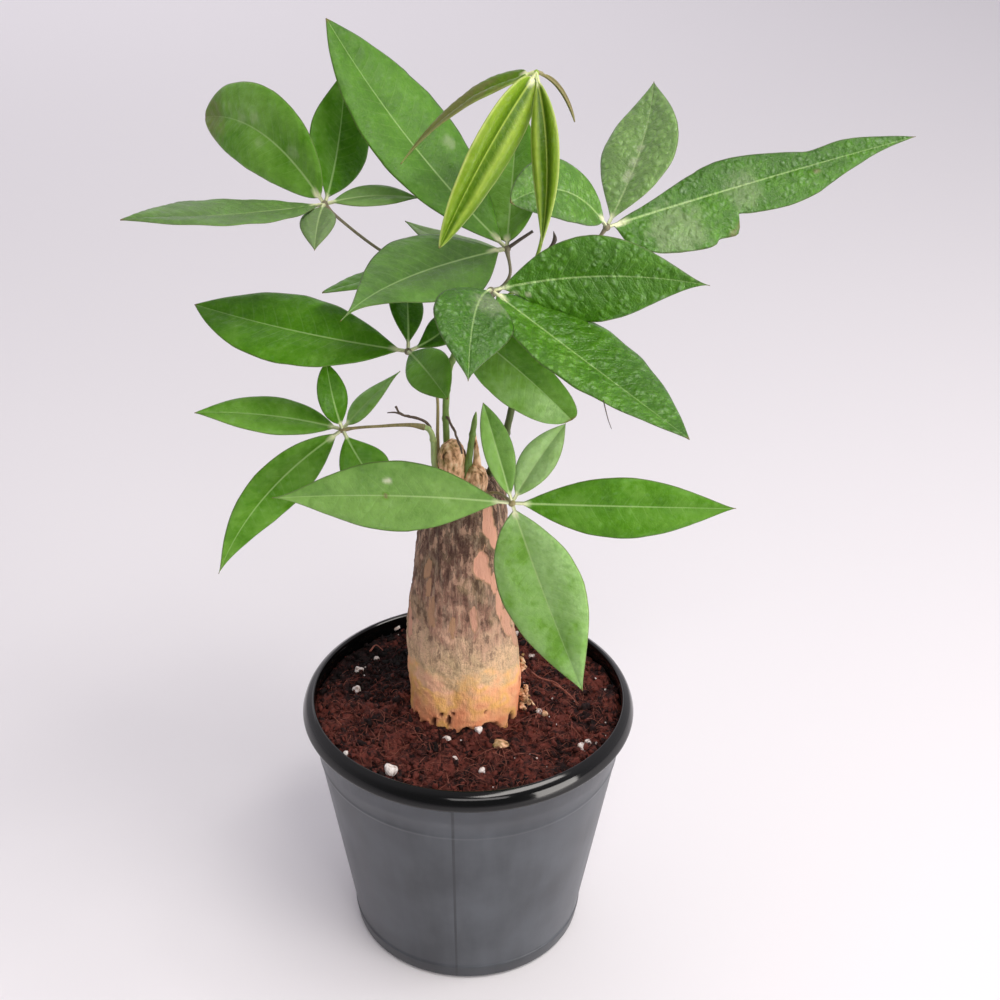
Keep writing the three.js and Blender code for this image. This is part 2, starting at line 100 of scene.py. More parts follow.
# Each leaf has a stalk from its foot to its hub, and leaflets that spread from the hub.
# A leaflet's row holds
#   the x, y and z of its tip, measured from the hub
#   width, arch and bend of the midrib, and roll of the blade about it in degrees
#   widest: where it is widest, slender: how pointed it is
#   skew: how much wider the right-hand half is, if at all
#   torn: true where the half widths stand in the list TORN
# tones give each leaflet's green, from deep at 0 to pale at 1, or its left and right halves'.
# pucker is how quilted the blades are between their side veins, folds how far the halves rise
# in degrees, and bulge how far each half is arched, as a share of its width. The fold shade turn
# sets which way the bands of painted light and shade run across each young leaflet. The painted
# sheen is how much a painted grey reflection greys each leaflet, and tip_tone how much paler the
# tips are. marks are spots: leaflet, share of its length, mm right of the midrib, radius in mm,
# and how pale they are, or how brown where negative. The brown ones are real spots; the pale ones
# are partly real pale spots and partly painted glints and sheen. finish names the wax.
LEAVES = {}
LEAVES["leaf_upper_left"] = {
    "hub": [-57.5, 15, 346],
    "stalk": [
        [0.5, 3, 302], [-3, 9, 309], [-13, 16, 316],
        [-26, 19, 321], [-36.6, 19, 326.3], [-53.6, 15.5, 341.6],
    ],
    "leaflets": [
        [-66, -55, 11, 36, 0, -4, 0, 0.51, 2.1, 0.05],
        [-54, 51, 20, 33, 11.5, -1.5, -70, 0.52, 1.2, 0.05],
        [6, 39, 44, 27, -9.5, -1, 40, 0.53, 2.4],
        [36, 7, 1, 14, 2, 0, 20, 0.47, 2],
        [0, -36, -6, 14, 2, 0.5, 0, 0.46, 2.2],
    ],
    "tones": [0.06, 0.58, [0.43, 0.23], 0.45, -0.17],
    "bloom": [0.14, 0, 0, 0.19, 0.24],
    "pucker": 0.5,
    "marks": [
        [1, 0.97, -3, 13, -0.5], [1, 0.66, 2, 3, 0.22], [1, 0.57, 4, 2.5, 0.22], [1, 0.8, 3, 4, 0.2],
        [1, 0.47, -4, 2, 0.2], [1, 0.25, 3, 3, 0.2],
    ],
}
LEAVES["leaf_crown"] = {
    "hub": [14, 5, 332.5],
    "stalk": [[8.2, 3, 314], [13, 2.5, 318.5], [15.4, 3, 323]],
    "leaflets": [
        [-71, 36, 79, 40, -4.5, 0, -20, 0.5, 1.9, 0.1],
        [4, 48, 45, 25, 0.5, 0, -20, 0.38, 1.7],
        [-57, -76, 0, 41, -1.5, 12, -20, 0.31, 3.4, -0.05],
        [-41, 23, 3, 17, -3.5, -0.5, 0, 0.46, 2.2],
        [-72, -6, -17, 27, 0, 2, 5, 0.58, 1.9],
    ],
    "tones": [0.25, [0.65, 0.55], [0.17, 0.07], 0.98, [0.4, 0.2]],
    "bloom": [0.05, 0, 0.09, 0.3, 0.06],
    "pucker": 0.4,
    "marks": [[4, 0.27, -5.5, 1.9, 1.3], [0, 0.4, 13, 3, 0.3]],
}
LEAVES["leaf_young"] = {
    "hub": [23.4, -8, 403.5],
    "stalk": [
        [5.5, 3, 310], [13, 2, 313], [22, 5, 321], [27.3, 8, 334.5],
        [27.5, 8.5, 356], [26, 3, 379], [24.4, -4, 395],
    ],
    "leaflets": [
        [-34, -27, -57, 18, 5.5, -4, -80, 0.38, 1.2, -0.05],
        [3, -26, -56, 12, 7.5, -2, 30, 0.44, 2],
        [-49, -4, -33, 15, 4, 3, -5, 0.24, 1.8, 0.05],
        [15, 9, -20, 5, 4, -3.5, 30, 0.55, 2],
    ],
    "tones": [0.38, -0.15, 0.25, 0.25],
    "pucker": 0.5,
    # Which way the bands of painted light and shade run across each leaflet
    "pleats": [-1, 0.75, 0, 0],
    "marks": [[2, 0.75, 0, 30, -0.6], [3, 0.5, 0, 40, -0.9]],
    "folds": [20, 24, 16, 20],
    "bulge": 0.14,
    "finish": "young_leaf_wax",
}
LEAVES["leaf_upper_right"] = {
    "hub": [53, 15, 338.5],
    "stalk": [[19.6, 2.9, 277.8], [24, 5, 290], [35, 10, 312], [50, 14.5, 334]],
    "leaflets": [
        [20, 51, 45, 32, 1.5, 4, -10, 0.48, 2.5],
        [127, 40, 27, 33, 0, -2, 60, 0.32, 1.6, 0.2, True],
        [-38, -33, 20, 26, 9, 2, -55, 0.47, 1.3],
    ],
    "tones": [0.57, [0.03, 0.18], [0.3, 0.4]],
    "bloom": [0.18, 0, 0.05],
    "pucker": 1.0,
    "marks": [
        [1, 0.345, 18.5, 1.8, -0.8], [1, 0.375, 15.5, 2, -0.7], [1, 0.42, 3, 8, 0.18],
        [1, 0.18, 10, 12, 0.22], [0, 0.3, -0.8, 2.4, 0.4], [0, 0.4, -0.6, 2.2, 0.4],
        [0, 0.5, 0, 2, 0.35], [1, 0.66, 3, 1.2, -0.7],
    ],
    "finish": "quilted_leaf_wax",
}
LEAVES["leaf_front_right"] = {
    "hub": [8.3, -32, 329.5],
    "stalk": [[-2.5, 3, 298], [3, -5, 304], [7.5, -17, 315], [8.5, -28, 326]],
    "leaflets": [
        [79, -10, 7, 33, 4, -1.5, 85, 0.45, 2.9, 0.05],
        [69, -62, -29, 40, -2, -2.5, 0, 0.42, 1.8, -0.1],
        [-7, -50, -14, 30, 9, 1.5, -20, 0.53, 2.9],
    ],
    "tones": [0.25, [0.25, 0.35], [-0.08, 0.02]],
    "pucker": 0.8,
    "marks": [[0, 0.07, 3, 1.8, 0.9], [0, 0.13, 4, 1.2, 0.9], [2, 0.3, -5, 8, 0.3]],
    "finish": "quilted_leaf_wax",
}
LEAVES["leaf_middle_left"] = {
    "hub": [-24, -12, 296],
    "stalk": [[-12, 0.5, 230], [-13.2, 0, 251], [-13.2, 0, 270], [-14.5, -1.5, 281], [-19, -7, 291]],
    "leaflets": [
        [-87, 23, 9, 37, -0.5, -3, -25, 0.51, 2],
        [-3, 34, 17, 15, 2.5, 0.5, 20, 0.53, 2.2, -0.1],
        [17, -39, -2, 18, 2.5, 1, 35, 0.51, 1.9, -0.1],
        [18, 24, 7, 13, 0, 3.5, 30, 0.57, 2.1],
    ],
    "tones": [[0.38, 0.28], -0.25, 0.5, -0.3],
    "pucker": 0.4,
}
LEAVES["leaf_lower_left"] = {
    "hub": [-51.6, -6, 258.5],
    "stalk": [
        [-18.4, -3.3, 258.8], [-23, -4, 260], [-29, -4.5, 260.2], [-36.4, -5, 259.8], [-44, -5.5, 259.4],
    ],
    "leaflets": [
        [-59, -3, 8, 20, 1, 3, -25, 0.45, 2],
        [-6, 5, 27, 13, 3, -3.5, -20, 0.5, 1.5],
        [23, 12, 21, 12, 2, 2, 10, 0.32, 2.2, -0.05],
        [-54, -8, -65, 23, 8, -4, -100, 0.38, 2.3, -0.1],
        [18, -13, -24, 22, 2, 3, 20, 0.55, 2],
    ],
    "tones": [0.55, 0.25, 0.9, 0.46, 0.48],
    "pucker": 0.3,
}
LEAVES["leaf_inner"] = {
    "hub": [-8, -8, 309],
    "stalk": [[-6, 2.3, 289], [-6, -3, 294], [-7, -7, 302]],
    "leaflets": [
        [48, -26, -31, 26, 7.5, 8, 85, 0.55, 0.9, 0.2],
    ],
    # Painted light: the paler half stands for light shining through the blade
    "tones": [[0.2, 0.55]],
    "tip_tone": 0.4,
    "pucker": 0.3,
}
LEAVES["leaf_lower_front"] = {
    "hub": [17.6, -35, 241.7],
    "stalk": [[5, -2, 222], [8.5, -12, 233], [12, -22, 239], [15, -30, 241.5]],
    "leaflets": [
        [-95, 1, 0, 31, 2.5, -0.5, -85, 0.46, 2.9],
        [89, 2, -2, 26, -0.5, -0.5, 80, 0.47, 2.4, 0.05],
        [30, -23, -74, 38, -5.5, -4.5, 70, 0.44, 2.1],
        [-12, 16, 36, 14, 2.5, -1.5, -15, 0.49, 1.9],
        [21, 21, 25, 15, 2.5, 1, 25, 0.46, 2],
    ],
    "tones": [[0.59, 0.44], 0.4, [0.92, 0.82], [0.77, 0.52], 0.86],
    "bloom": [0.12, 0, 0, 0.1, 0.15],
    "pucker": 0.3,
    "marks": [[0, 0.51, 0, 1.2, -1], [0, 0.5, 7, 1.6, 1]],
    "folds": [10, 10, 10, 27, 14],
}

# What a leaf has unless its own values say otherwise; lists hold a value for each leaflet
USUAL_LEAF = {
    "bloom": [0] * 5, "pleats": [0] * 5, "folds": [10] * 5, "marks": [], "bulge": 0.02, "tip_tone": 0,
    "finish": "leaf_wax",
}

# The torn leaflet: share of its length, then half width left and right of the midrib
TORN = [
    [0, 0, 0], [0.03, 1.5, 10.5], [0.06, 2.5, 13], [0.1, 3.6, 16], [0.15, 5.3, 18], [0.2, 7.3, 19.5],
    [0.25, 9.2, 20.3], [0.29, 10.5, 19.8], [0.3, 11, 18.5], [0.36, 12.2, 18.7], [0.375, 12.3, 16],
    [0.38, 12.3, 11], [0.42, 12, 11.8], [0.5, 10.4, 13], [0.55, 9, 13.3], [0.6, 7.6, 12.8],
    [0.65, 6, 11.6], [0.7, 6.2, 9.2], [0.75, 6.8, 6.9], [0.8, 6.3, 5], [0.85, 5.1, 3],
    [0.9, 3.6, 1.6], [0.95, 2, 0.7], [1, 0, 0],
]

# station is the step along a blade in mm, crowd how much closer the steps stand at its ends,
# across how many points stand across it, and least the least half width
BLADE = SimpleNamespace(
    thickness=0.46, curl=0.12, ripple=0.012, ripple_length=17, station=0.95, across=45,
    crowd=0.6, stalk=3, least=0.75,
)

STALK = SimpleNamespace(foot=0.85, hub=0.6, sides=14, knuckle=1.5)

# Camera, solved from the pot's rim and foot: place in mm, pitch and roll in degrees
CAMERA = SimpleNamespace(place=(12.85, -552.94, 529.6), pitch=28.96, roll=0.9, lens=54, sensor=36)


# Shape tools


def unit(v):
    """Vectors brought to length 1."""
    return v / np.linalg.norm(v, axis=-1, keepdims=True)


def smooth(x):
    """0 below 0, 1 above 1, and an even S between them."""
    x = np.clip(x, 0, 1)
    return x * x * (3 - 2 * x)


def bell(*away):
    """1 at zero, falling off on all sides: e to the power of minus the sum of the squares."""
    return np.exp(-sum(one**2 for one in away))


def stacked(*columns):
    """Columns brought to one shape and put side by side."""
    return np.stack(np.broadcast_arrays(*columns), -1)


def turns(count):
    """Even angles round a full turn."""
    return np.linspace(0, 2 * PI, count, endpoint=False)


def noise(points, size, seed=0):
    """Value noise from -1 to 1: random values on a lattice of that size, blended by an S curve."""
    place = np.asarray(points) / size + 31.7
    cell = np.floor(place).astype(np.int64)
    blend = smooth(place - cell)
    total = 0
    for corner in np.ndindex(2, 2, 2):
        x, y, z = np.moveaxis((cell + corner) * PRIMES, -1, 0)
        mixed = (x ^ y ^ z ^ (seed * PRIMES[2] + 12345)) & 0xFFFFFFFF
        mixed = (mixed ^ (mixed >> 13)) * 1274126177 & 0xFFFFFFFF
        value = ((mixed ^ (mixed >> 16)) & 0xFFFF) / 32767.5 - 1
        total = total + value * np.prod(np.where(corner, blend, 1 - blend), axis=-1)
    return total


def smooth_path(points, count):
    """Even steps along a centripetal Catmull-Rom spline through points of any number of values."""
    p = np.asarray(points, float)
    p = np.vstack([2 * p[0] - p[1], p, 2 * p[-1] - p[-2]])
    step = np.sqrt(np.linalg.norm(np.diff(p, axis=0), axis=1))[:, None]
    a, b, c, d = p[:-3], p[1:-2], p[2:-1], p[3:]
    before, here, after = step[:-2], step[1:-1], step[2:]
    leave = ((b - a) / before - (c - a) / (before + here) + (c - b) / here) * here
    arrive = ((c - b) / here - (d - b) / (here + after) + (d - c) / after) * here
    t = np.linspace(0, 1, 24)[:, None, None]
    square, cube = 3 * (c - b) - 2 * leave - arrive, 2 * (b - c) + leave + arrive
    curve = b + leave * t + square * t**2 + cube * t**3
    curve = curve.swapaxes(0, 1).reshape(-1, p.shape[1])
    run = np.concatenate([[0], np.cumsum(np.linalg.norm(np.diff(curve, axis=0), axis=1))])
    even = np.linspace(0, run[-1], count)
    return np.stack([np.interp(even, run, column) for column in curve.T], axis=1)


def path_length(path):
    """The lengths of a path's steps, added up."""
    return np.linalg.norm(np.diff(path, axis=0), axis=1).sum()


def skins(rings):
    """Closed skins over rings, (pieces, rows, columns, values). Each ring runs anticlockwise as seen
    from the last one, quads join neighbours, and a fan to the middle of each end ring closes it."""
    count, rows, columns, values = rings.shape
    here = np.arange(count * rows * columns).reshape(count, rows, columns)
    beside = np.roll(here, -1, axis=2)
    quads = np.stack([here[:, :-1], beside[:, :-1], beside[:, 1:], here[:, 1:]], -1).reshape(-1, 4)
    pole = np.arange(count)[:, None] + here.size + np.zeros((1, columns), int)
    start = np.stack([pole, beside[:, 0], here[:, 0]], -1)
    end = np.stack([pole + count, here[:, -1], beside[:, -1]], -1)
    points = np.vstack([rings.reshape(-1, values), rings[:, 0].mean(1), rings[:, -1].mean(1)])
    return points, quads, np.vstack([start.reshape(-1, 3), end.reshape(-1, 3)])


def tubes(paths, radii, sides, *fields):
    """Round tubes: at each point of each path, (pieces, rows, 3), a circle of the given radius square
    to the path. The circle's zero is turned by the axis that the path runs along least."""
    paths = np.asarray(paths, float)
    forward = unit(np.gradient(paths, axis=1))
    run = np.abs(paths[:, -1] - paths[:, 0])
    across = np.eye(3)[np.argmin(run, axis=1)][:, None]
    right = unit(np.cross(forward, across))
    up = np.cross(forward, right)
    turn = turns(sides)[:, None]
    circle = right[:, :, None] * np.cos(turn) + up[:, :, None] * np.sin(turn)
    radii = np.broadcast_to(radii, paths.shape[:2])[:, :, None, None]
    rings = paths[:, :, None] + circle * radii
    extra = [np.broadcast_to(field, paths.shape[:2])[:, :, None] for field in fields]
    return stacked(*np.moveaxis(rings, -1, 0), *extra)


def rough_tube(path, radius, sides, size, seed, amount, squash=1):
    """A tube whose skin is moved in and out by noise, which squash draws out along the height."""
    rings = tubes(path[None], radius, sides)
    out = unit(rings - path[None, :, None])
    return rings + out * (amount * noise(rings * [1, 1, squash], size, seed))[..., None]


def globe(up, columns):
    """Directions from a ball's middle: one ring for each angle up from its lowest point."""
    up, turn = np.asarray(up)[:, None], turns(columns)
    return stacked(np.sin(up) * np.cos(turn), np.sin(up) * np.sin(turn), -np.cos(up))


def ball(centre, radius, lump, seed, rows=14, columns=20):
    """A sphere whose radius is swelled and sunk by noise."""
    way = globe(np.linspace(0.12, PI - 0.12, rows), columns)
    reach = radius * (1 + lump * noise(way, 0.7, seed))
    return (np.asarray(centre) + way * reach[..., None])[None]


def lathe(profile, columns):
    """A closed turned shape: each point of the profile, radius and height, is carried round +Z."""
    turn = turns(columns)
    radius, height = np.asarray(profile, float).T[:, :, None]
    return stacked(radius * np.cos(turn), radius * np.sin(turn), height)[None]


def rounded(corners, cut):
    """A line whose corners are bridged by parabolas that start `cut` mm before and after them."""
    corners = np.asarray(corners, float)
    here = corners[1:-1]
    start, end = [
        here + way * np.minimum(cut / np.linalg.norm(way, axis=1), 0.5)[:, None]
        for way in (corners[:-2] - here, corners[2:] - here)
    ]
    s = np.linspace(0, 1, 5)[:, None, None]
    arcs = (1 - s) ** 2 * start + 2 * s * (1 - s) * here + s**2 * end
    return np.vstack([corners[:1], arcs.swapaxes(0, 1).reshape(-1, 2), corners[-1:]])


def put_in(name, data):
    """An object of that data in the scene."""
    made = bpy.data.objects.new(name, data)
    bpy.context.scene.collection.objects.link(made)
    return made


def piece(name, shapes, material, fields=(), replaced=()):
    """One object from arrays of rings. The columns after x, y and z become its fields."""
    tables, quads, tris = zip(*[skins(rings) for rings in shapes])
    starts = np.cumsum([0, *map(len, tables)])
    table = np.vstack(tables)
    faces = []
    for group in (quads, tris):
        faces += np.vstack([corners + start for corners, start in zip(group, starts)]).tolist()
    mesh = bpy.data.meshes.new(name)
    mesh.from_pydata(table[:, :3] * MM, [], faces, shade_flat=False)
    for column, field in enumerate(fields, start=3):
        values = mesh.attributes.new(field, "FLOAT", "POINT")
        values.data.foreach_set("value", table[:, column].astype(np.float32))
    mesh.materials.append(material)
    made = put_in(name, mesh)
    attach(made, "root")
    if replaced:
        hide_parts(*replaced)
    return made


# Material tools


def linear(code):
    """An sRGB hex colour as linear light, fully opaque."""
    parts = np.array([int(code[i:i + 2], 16) for i in (1, 3, 5)]) / 255
    parts = np.where(parts <= 0.04045, parts / 12.92, ((parts + 0.055) / 1.055) ** 2.4)
    return (*parts.tolist(), 1)


def add(tree, kind, output, inputs=None, **settings):
    """Adds a node with its settings and gives one of its outputs. inputs gives each socket a value,
    a hex colour or the socket that feeds it."""
    node = tree.nodes.new("ShaderNode" + kind)
    for name, value in settings.items():
        setattr(node, name, value)
    for name, value in (inputs or {}).items():
        if isinstance(value, bpy.types.NodeSocket):
            tree.links.new(value, node.inputs[name])
        else:
            node.inputs[name].default_value = linear(value) if isinstance(value, str) else value
    return node.outputs[output]


def per(mm):
    """Texture scale of a pattern whose grain is that many millimetres."""
    return 1 / (mm * MM)


def span(tree, source, low, high, first=0, last=1):
    """Goes evenly from first to last while the source goes from low to high, and stays there."""
    limits = {"Value": source, "From Min": low, "From Max": high, "To Min": first, "To Max": last}
    return add(tree, "MapRange", "Result", limits)


def summed(tree, start, *pairs):
    """start plus the product of each pair."""
    for one, other in pairs:
        start = add(tree, "Math", 0, {0: one, 1: other, 2: start}, operation="MULTIPLY_ADD")
    return start


def grain(tree, place, mm, detail=2, rough=0.5, squash=1):
    """Noise from 0 to 1 with grains of that size, which squash draws out along the height."""
    drawn = add(tree, "Mapping", "Vector", {"Vector": place, "Scale": (1, 1, squash)})
    sockets = {"Vector": drawn, "Scale": per(mm), "Detail": detail, "Roughness": rough}
    return add(tree, "TexNoise", "Fac", sockets)


def cells(tree, place, mm, **settings):
    """Distance in a pattern of cells of that size."""
    return add(tree, "TexVoronoi", "Distance", {"Vector": place, "Scale": per(mm)}, **settings)


def blend(tree, amount, under, over):
    """One colour over another, by an amount from 0 to 1."""
    return add(tree, "MixRGB", "Color", {"Fac": amount, "Color1": under, "Color2": over})


def layered(tree, colour, *layers):
    """A colour under layers. Each layer has a source, the range that it is read over, its amount at
    either end of that range, a factor of the amount, and its own colour."""
    for source, low, high, first, last, factor, over in layers:
        amount = summed(tree, 0, (span(tree, source, low, high, first, last), factor))
        colour = blend(tree, amount, colour, over)
    return colour


def ramp(tree, source, *stops):
    """Hex colours at places from 0 to 1, evenly blended between them."""
    colour = add(tree, "ValToRGB", "Color", {"Fac": source})
    marks = colour.node.color_ramp.elements
    marks[0].position, marks[-1].position = stops[0][0], stops[-1][0]
    for place, _ in stops[1:-1]:
        marks.new(place)
    for mark, (_, code) in zip(marks, stops):
        mark.color = linear(code)
    return colour


def new_material(name, fields=(), **sockets):
    """A material, its tree, its Object coordinates and the fields it reads. The shader's own sockets
    hold what is the same all over."""
    made = bpy.data.materials.new(name)
    made.use_nodes = True
    tree = made.node_tree
    for socket, value in sockets.items():
        tree.nodes["Principled BSDF"].inputs[socket.replace("_", " ")].default_value = value
    read = [add(tree, "Attribute", "Fac", attribute_name=field) for field in fields]
    return made, tree, add(tree, "TexCoord", "Object"), *read


def dress(made, colour, height, strength, depth_mm, rough=None):
    """Joins a material's colour, the bumps of that depth and its roughness to the shader."""
    tree = made.node_tree
    bump = add(tree, "Bump", "Normal", {"Strength": strength, "Distance": depth_mm * MM, "Height": height})
    for socket, source in {"Base Color": colour, "Normal": bump, "Roughness": rough}.items():
        if source:
            tree.links.new(source, tree.nodes["Principled BSDF"].inputs[socket])
    return made


# Materials


BLADE_FIELDS = ("rib_mm", "edge_mm", "vein", "gap_mm", "along", "tone", "mark", "fold_shade_side", "under")


def leaf_wax(name, greens, rib, back, margin, margin_mm, shine, quilt_mm, beads, fold_shade_bands=()):
    """Living blade under a thin wax: satin, slightly see-through and softly mottled, with a fine
    pale midrib, side veins that show as faint grooves, a dull paler back and a thin drier margin.
    Some blades are beaded with round swellings of 3 mm, with a painted glint on their crests and
    painted shade in the hollows between them. Pale marks are painted sheen and glints, with some real
    pale spots. Young blades carry bands of painted light and shade along their folds, and are pale
    along their soft margins."""
    made, tree, place, rib_mm, edge_mm, vein, gap_mm, along, tone, mark, fold_shade_side, under = new_material(
        name, BLADE_FIELDS, IOR=1.45, Specular_IOR_Level=shine, Subsurface_Weight=0.2,
        Subsurface_Radius=(0.6, 1.0, 0.2), Subsurface_Scale=MM,
    )
    cloud, patch, fleck = [grain(tree, place, mm, 4) for mm in (16, 4, 1.2)]
    bent = blend(tree, 0.004, place, grain(tree, place, 6).node.outputs["Color"])
    bead_cells = cells(tree, bent, 3.2)

    # Distance in mm to the nearest side vein, and to the midrib in widths that taper to the tip
    share = add(tree, "Math", 0, {0: vein, 1: 0.5}, operation="PINGPONG")
    away = summed(tree, 0, (share, gap_mm))
    taper = span(tree, along, 0, 1, 0.5, 0.16)
    ratio = add(tree, "Math", 0, {0: rib_mm, 1: taper}, operation="DIVIDE")
    groove = summed(tree, 0, (span(tree, away, 0.05, 0.4, 1, 0), span(tree, edge_mm, 2, 11)))

    shade = summed(tree, -0.6, (tone, 1), (cloud, 0.8), (patch, 0.4))
    green = ramp(tree, shade, *zip((0, 0.35, 0.7, 1), greens))
    # Bands of painted light and shade along a young blade's folds: pale lit edges and dark shaded creases
    if fold_shade_bands:
        green = blend(tree, 0.8, green, ramp(tree, span(tree, fold_shade_side, -1, 1), *fold_shade_bands))
    green = layered(
        tree, green,
        (patch, 0.5, 0.66, 0, 0.3, 1, greens[1]),
        (fleck, 0.45, 0.7, 0, 0.2, 1, greens[2]),
        # Painted glint on the bead crests, then painted shade in the hollows between the beads
        (bead_cells, 0.1, 0.35, 0.22, 0, beads, "#a4bf9c"),
        (bead_cells, 0.4, 0.7, 0, 0.5, beads, greens[0]),
        (groove, 0, 1, 0, 0.09, 1, rib),
        (under, 0, 1, 0, 0.7, 1, back),
        (ratio, 0.5, 1.3, 1, 0, span(tree, along, 0, 1, 0.8, 0.3), rib),
        # Pale marks and the painted sheen: painted grey reflection and glints, with some real pale spots
        (mark, 0, 1, 0, 0.9, 1, "#c0c6a8"),
        (along, 0.015, 0.06, 0.95, 0, span(tree, rib_mm, 0.8, 1.8, 1, 0), "#e3e6bd"),
        (edge_mm, 0.1, margin_mm, 0.6, 0, 1, margin),
        (mark, -1, 0, 0.9, 0, 1, "#7a6a4c"),
        (along, 0.98, 0.998, 0, 1, 1, "#6b5a35"),
    )

    # The finest veins part the surface into small pillows
    pillow = span(tree, cells(tree, place, 1.3, feature="DISTANCE_TO_EDGE"), 0, 0.25, 0, 0.25)
    bead = span(tree, bead_cells, 0.1, 0.55, 1.7 * beads, 0)
    height = summed(tree, bead, (groove, -0.3), (pillow, 1), (patch, 3))
    gloss = summed(tree, span(tree, fleck, 0.3, 0.7, 0.28, 0.5), (under, 0.25))
    return dress(made, green, height, 0.5, quilt_mm, gloss)


def stem_skin(name, low, high, dark, change):
    """Smooth skin of a living stalk or shoot: waxy, streaked along its length, and browner low
    down. change is the height where the colour turns, in mm."""
    made, tree, place = new_material(
        name, IOR=1.45, Roughness=0.5, Subsurface_Weight=0.08, Subsurface_Scale=MM
    )
    streak = grain(tree, place, 0.8, 4, squash=0.15)
    height = add(tree, "SeparateXYZ", "Z", {"Vector": place})
    skin = layered(
        tree, low,
        (height, (change - 8) * MM, (change + 8) * MM, 0, 1, 1, high),
        (streak, 0.45, 0.75, 0, 0.55, 1, dark),
    )
    return dress(made, skin, streak, 0.5, 0.15)


def peeling_bark():
    """Thin corky bark: purple-brown and streaked with grey high up, flaky below, beige over the
    foot and smooth orange-tan where it was under the mix, stained pink and yellow. Where plates
    came off, the wood is tan, or salmon pink where it is freshly bared."""
    made, tree, place, bare, pit = new_material("peeling_bark", ("bare", "pit"), Roughness=0.8, IOR=1.4)
    streak = grain(tree, place, 2.6, 5, 0.65, 0.16)
    fine = grain(tree, place, 0.9, 4, 0.6, 0.16)
    flake = grain(tree, place, 3, 4, 0.6, 0.5)
    cloud = grain(tree, place, 15)
    crumb = grain(tree, place, 0.8, 3)

    # Zones in mm of ragged height, which is 15 mm above the true height on average
    height = add(tree, "SeparateXYZ", "Z", {"Vector": place})
    ragged = summed(tree, 0, (height, 1 / MM), (grain(tree, place, 8, 5), 30))
    corky = span(tree, ragged, 160, 196, 0.2, 1)
    flaky = span(tree, ragged, 160, 176)
    beige = span(tree, ragged, 156, 166)
    zones = [
        (128, "#dc945d"), (143, "#ecab75"), (153, "#eeba87"), (160, "#e4bd90"), (165, "#dcb993"),
        (177, "#cfae8e"), (185, "#aa806c"), (205, "#7d594c"), (227, "#5e4237"), (247, "#4f372e"),
    ]
    bark = ramp(tree, span(tree, ragged, 128, 268), *[((mm - 128) / 140, code) for mm, code in zones])
    stain = ramp(tree, cloud, (0.38, "#f0946e"), (0.48, "#f6b082"), (0.57, "#f5be66"), (0.66, "#f0b89c"))
    raw = ramp(tree, bare, (0.5, "#a5805e"), (0.75, "#c0947a"), (0.95, "#dfa68e"))
    bark = layered(
        tree, bark,
        (ragged, 154, 164, 0.7, 0, 1, stain),
        (cloud, 0.52, 0.64, 0, 0.35, beige, "#a59a6e"),
        (crumb, 0.4, 0.5, 0.4, 0, beige, "#8a7358"),
        (streak, 0.48, 0.62, 0, 0.65, corky, "#a08c76"),
        (fine, 0.52, 0.66, 0, 0.22, corky, "#c9a58a"),
        (flake, 0.54, 0.6, 0, 0.55, flaky, "#cfa68c"),
        (flake, 0.38, 0.46, 0.6, 0, flaky, "#3f2620"),
        (fine, 0.34, 0.48, 0.34, 0, corky, "#39251e"),
        (streak, 0.36, 0.46, 0.42, 0, corky, "#2f1c18"),
        (summed(tree, bare, (fine, 0.9)), 0.8, 1, 0, 1, 1, raw),
        (pit, 0, 1, 0, 1, 1, "#4a2114"),
    )
    furrow = summed(tree, streak, (fine, 0.8))
    return dress(made, bark, summed(tree, 0, (furrow, corky), (flake, 0.6), (crumb, 0.3)), 1, 1.1)


def sawn_wood():
    """Weathered soft wood of old cuts: tan and pinkish, fibrous, with dark checks."""
    made, tree, place = new_material("sawn_wood", Roughness=0.8, IOR=1.4)
    fibre = grain(tree, place, 1.6, 6, squash=0.35)
    wood = ramp(tree, fibre, (0.32, "#4a2f20"), (0.44, "#b88c66"), (0.54, "#e6b692"), (0.7, "#f6dab6"))
    wood = layered(tree, wood, (grain(tree, place, 5, 3), 0.5, 0.66, 0, 0.6, 1, "#77703c"))
    return dress(made, wood, fibre, 0.7, 0.7)


def moist_coir(name, dark, middle, light, grain_mm):
    """Damp coconut fibre and peat: dark red-brown, each crumb its own shade, with a weak wet shine, and
    painted shade behind the trunk on its left.
    """
    made, tree, place, tone = new_material(name, ["tone"], IOR=1.4, Specular_IOR_Level=0.35)
    crumb = grain(tree, place, grain_mm, 6, 0.7)
    mixed = summed(tree, crumb, (tone, 0.45), (grain(tree, place, 12), 0.35))
    coir = ramp(tree, span(tree, mixed, 0.41, 1.04), (0, dark), (0.5, middle), (1, light))
    return dress(made, coir, crumb, 0.9, 0.8, span(tree, crumb, 0, 1, 0.95, 0.5))


def perlite():
    """Expanded volcanic glass: chalk white and full of fine pores."""
    made, tree, place = new_material("perlite", Roughness=0.85, IOR=1.5)
    white = ramp(tree, grain(tree, place, 2, 4), (0.3, "#8a6f66"), (0.45, "#ded3cf"), (0.7, "#f6f1ee"))
    return dress(made, white, cells(tree, place, 0.7), 0.6, 0.4)


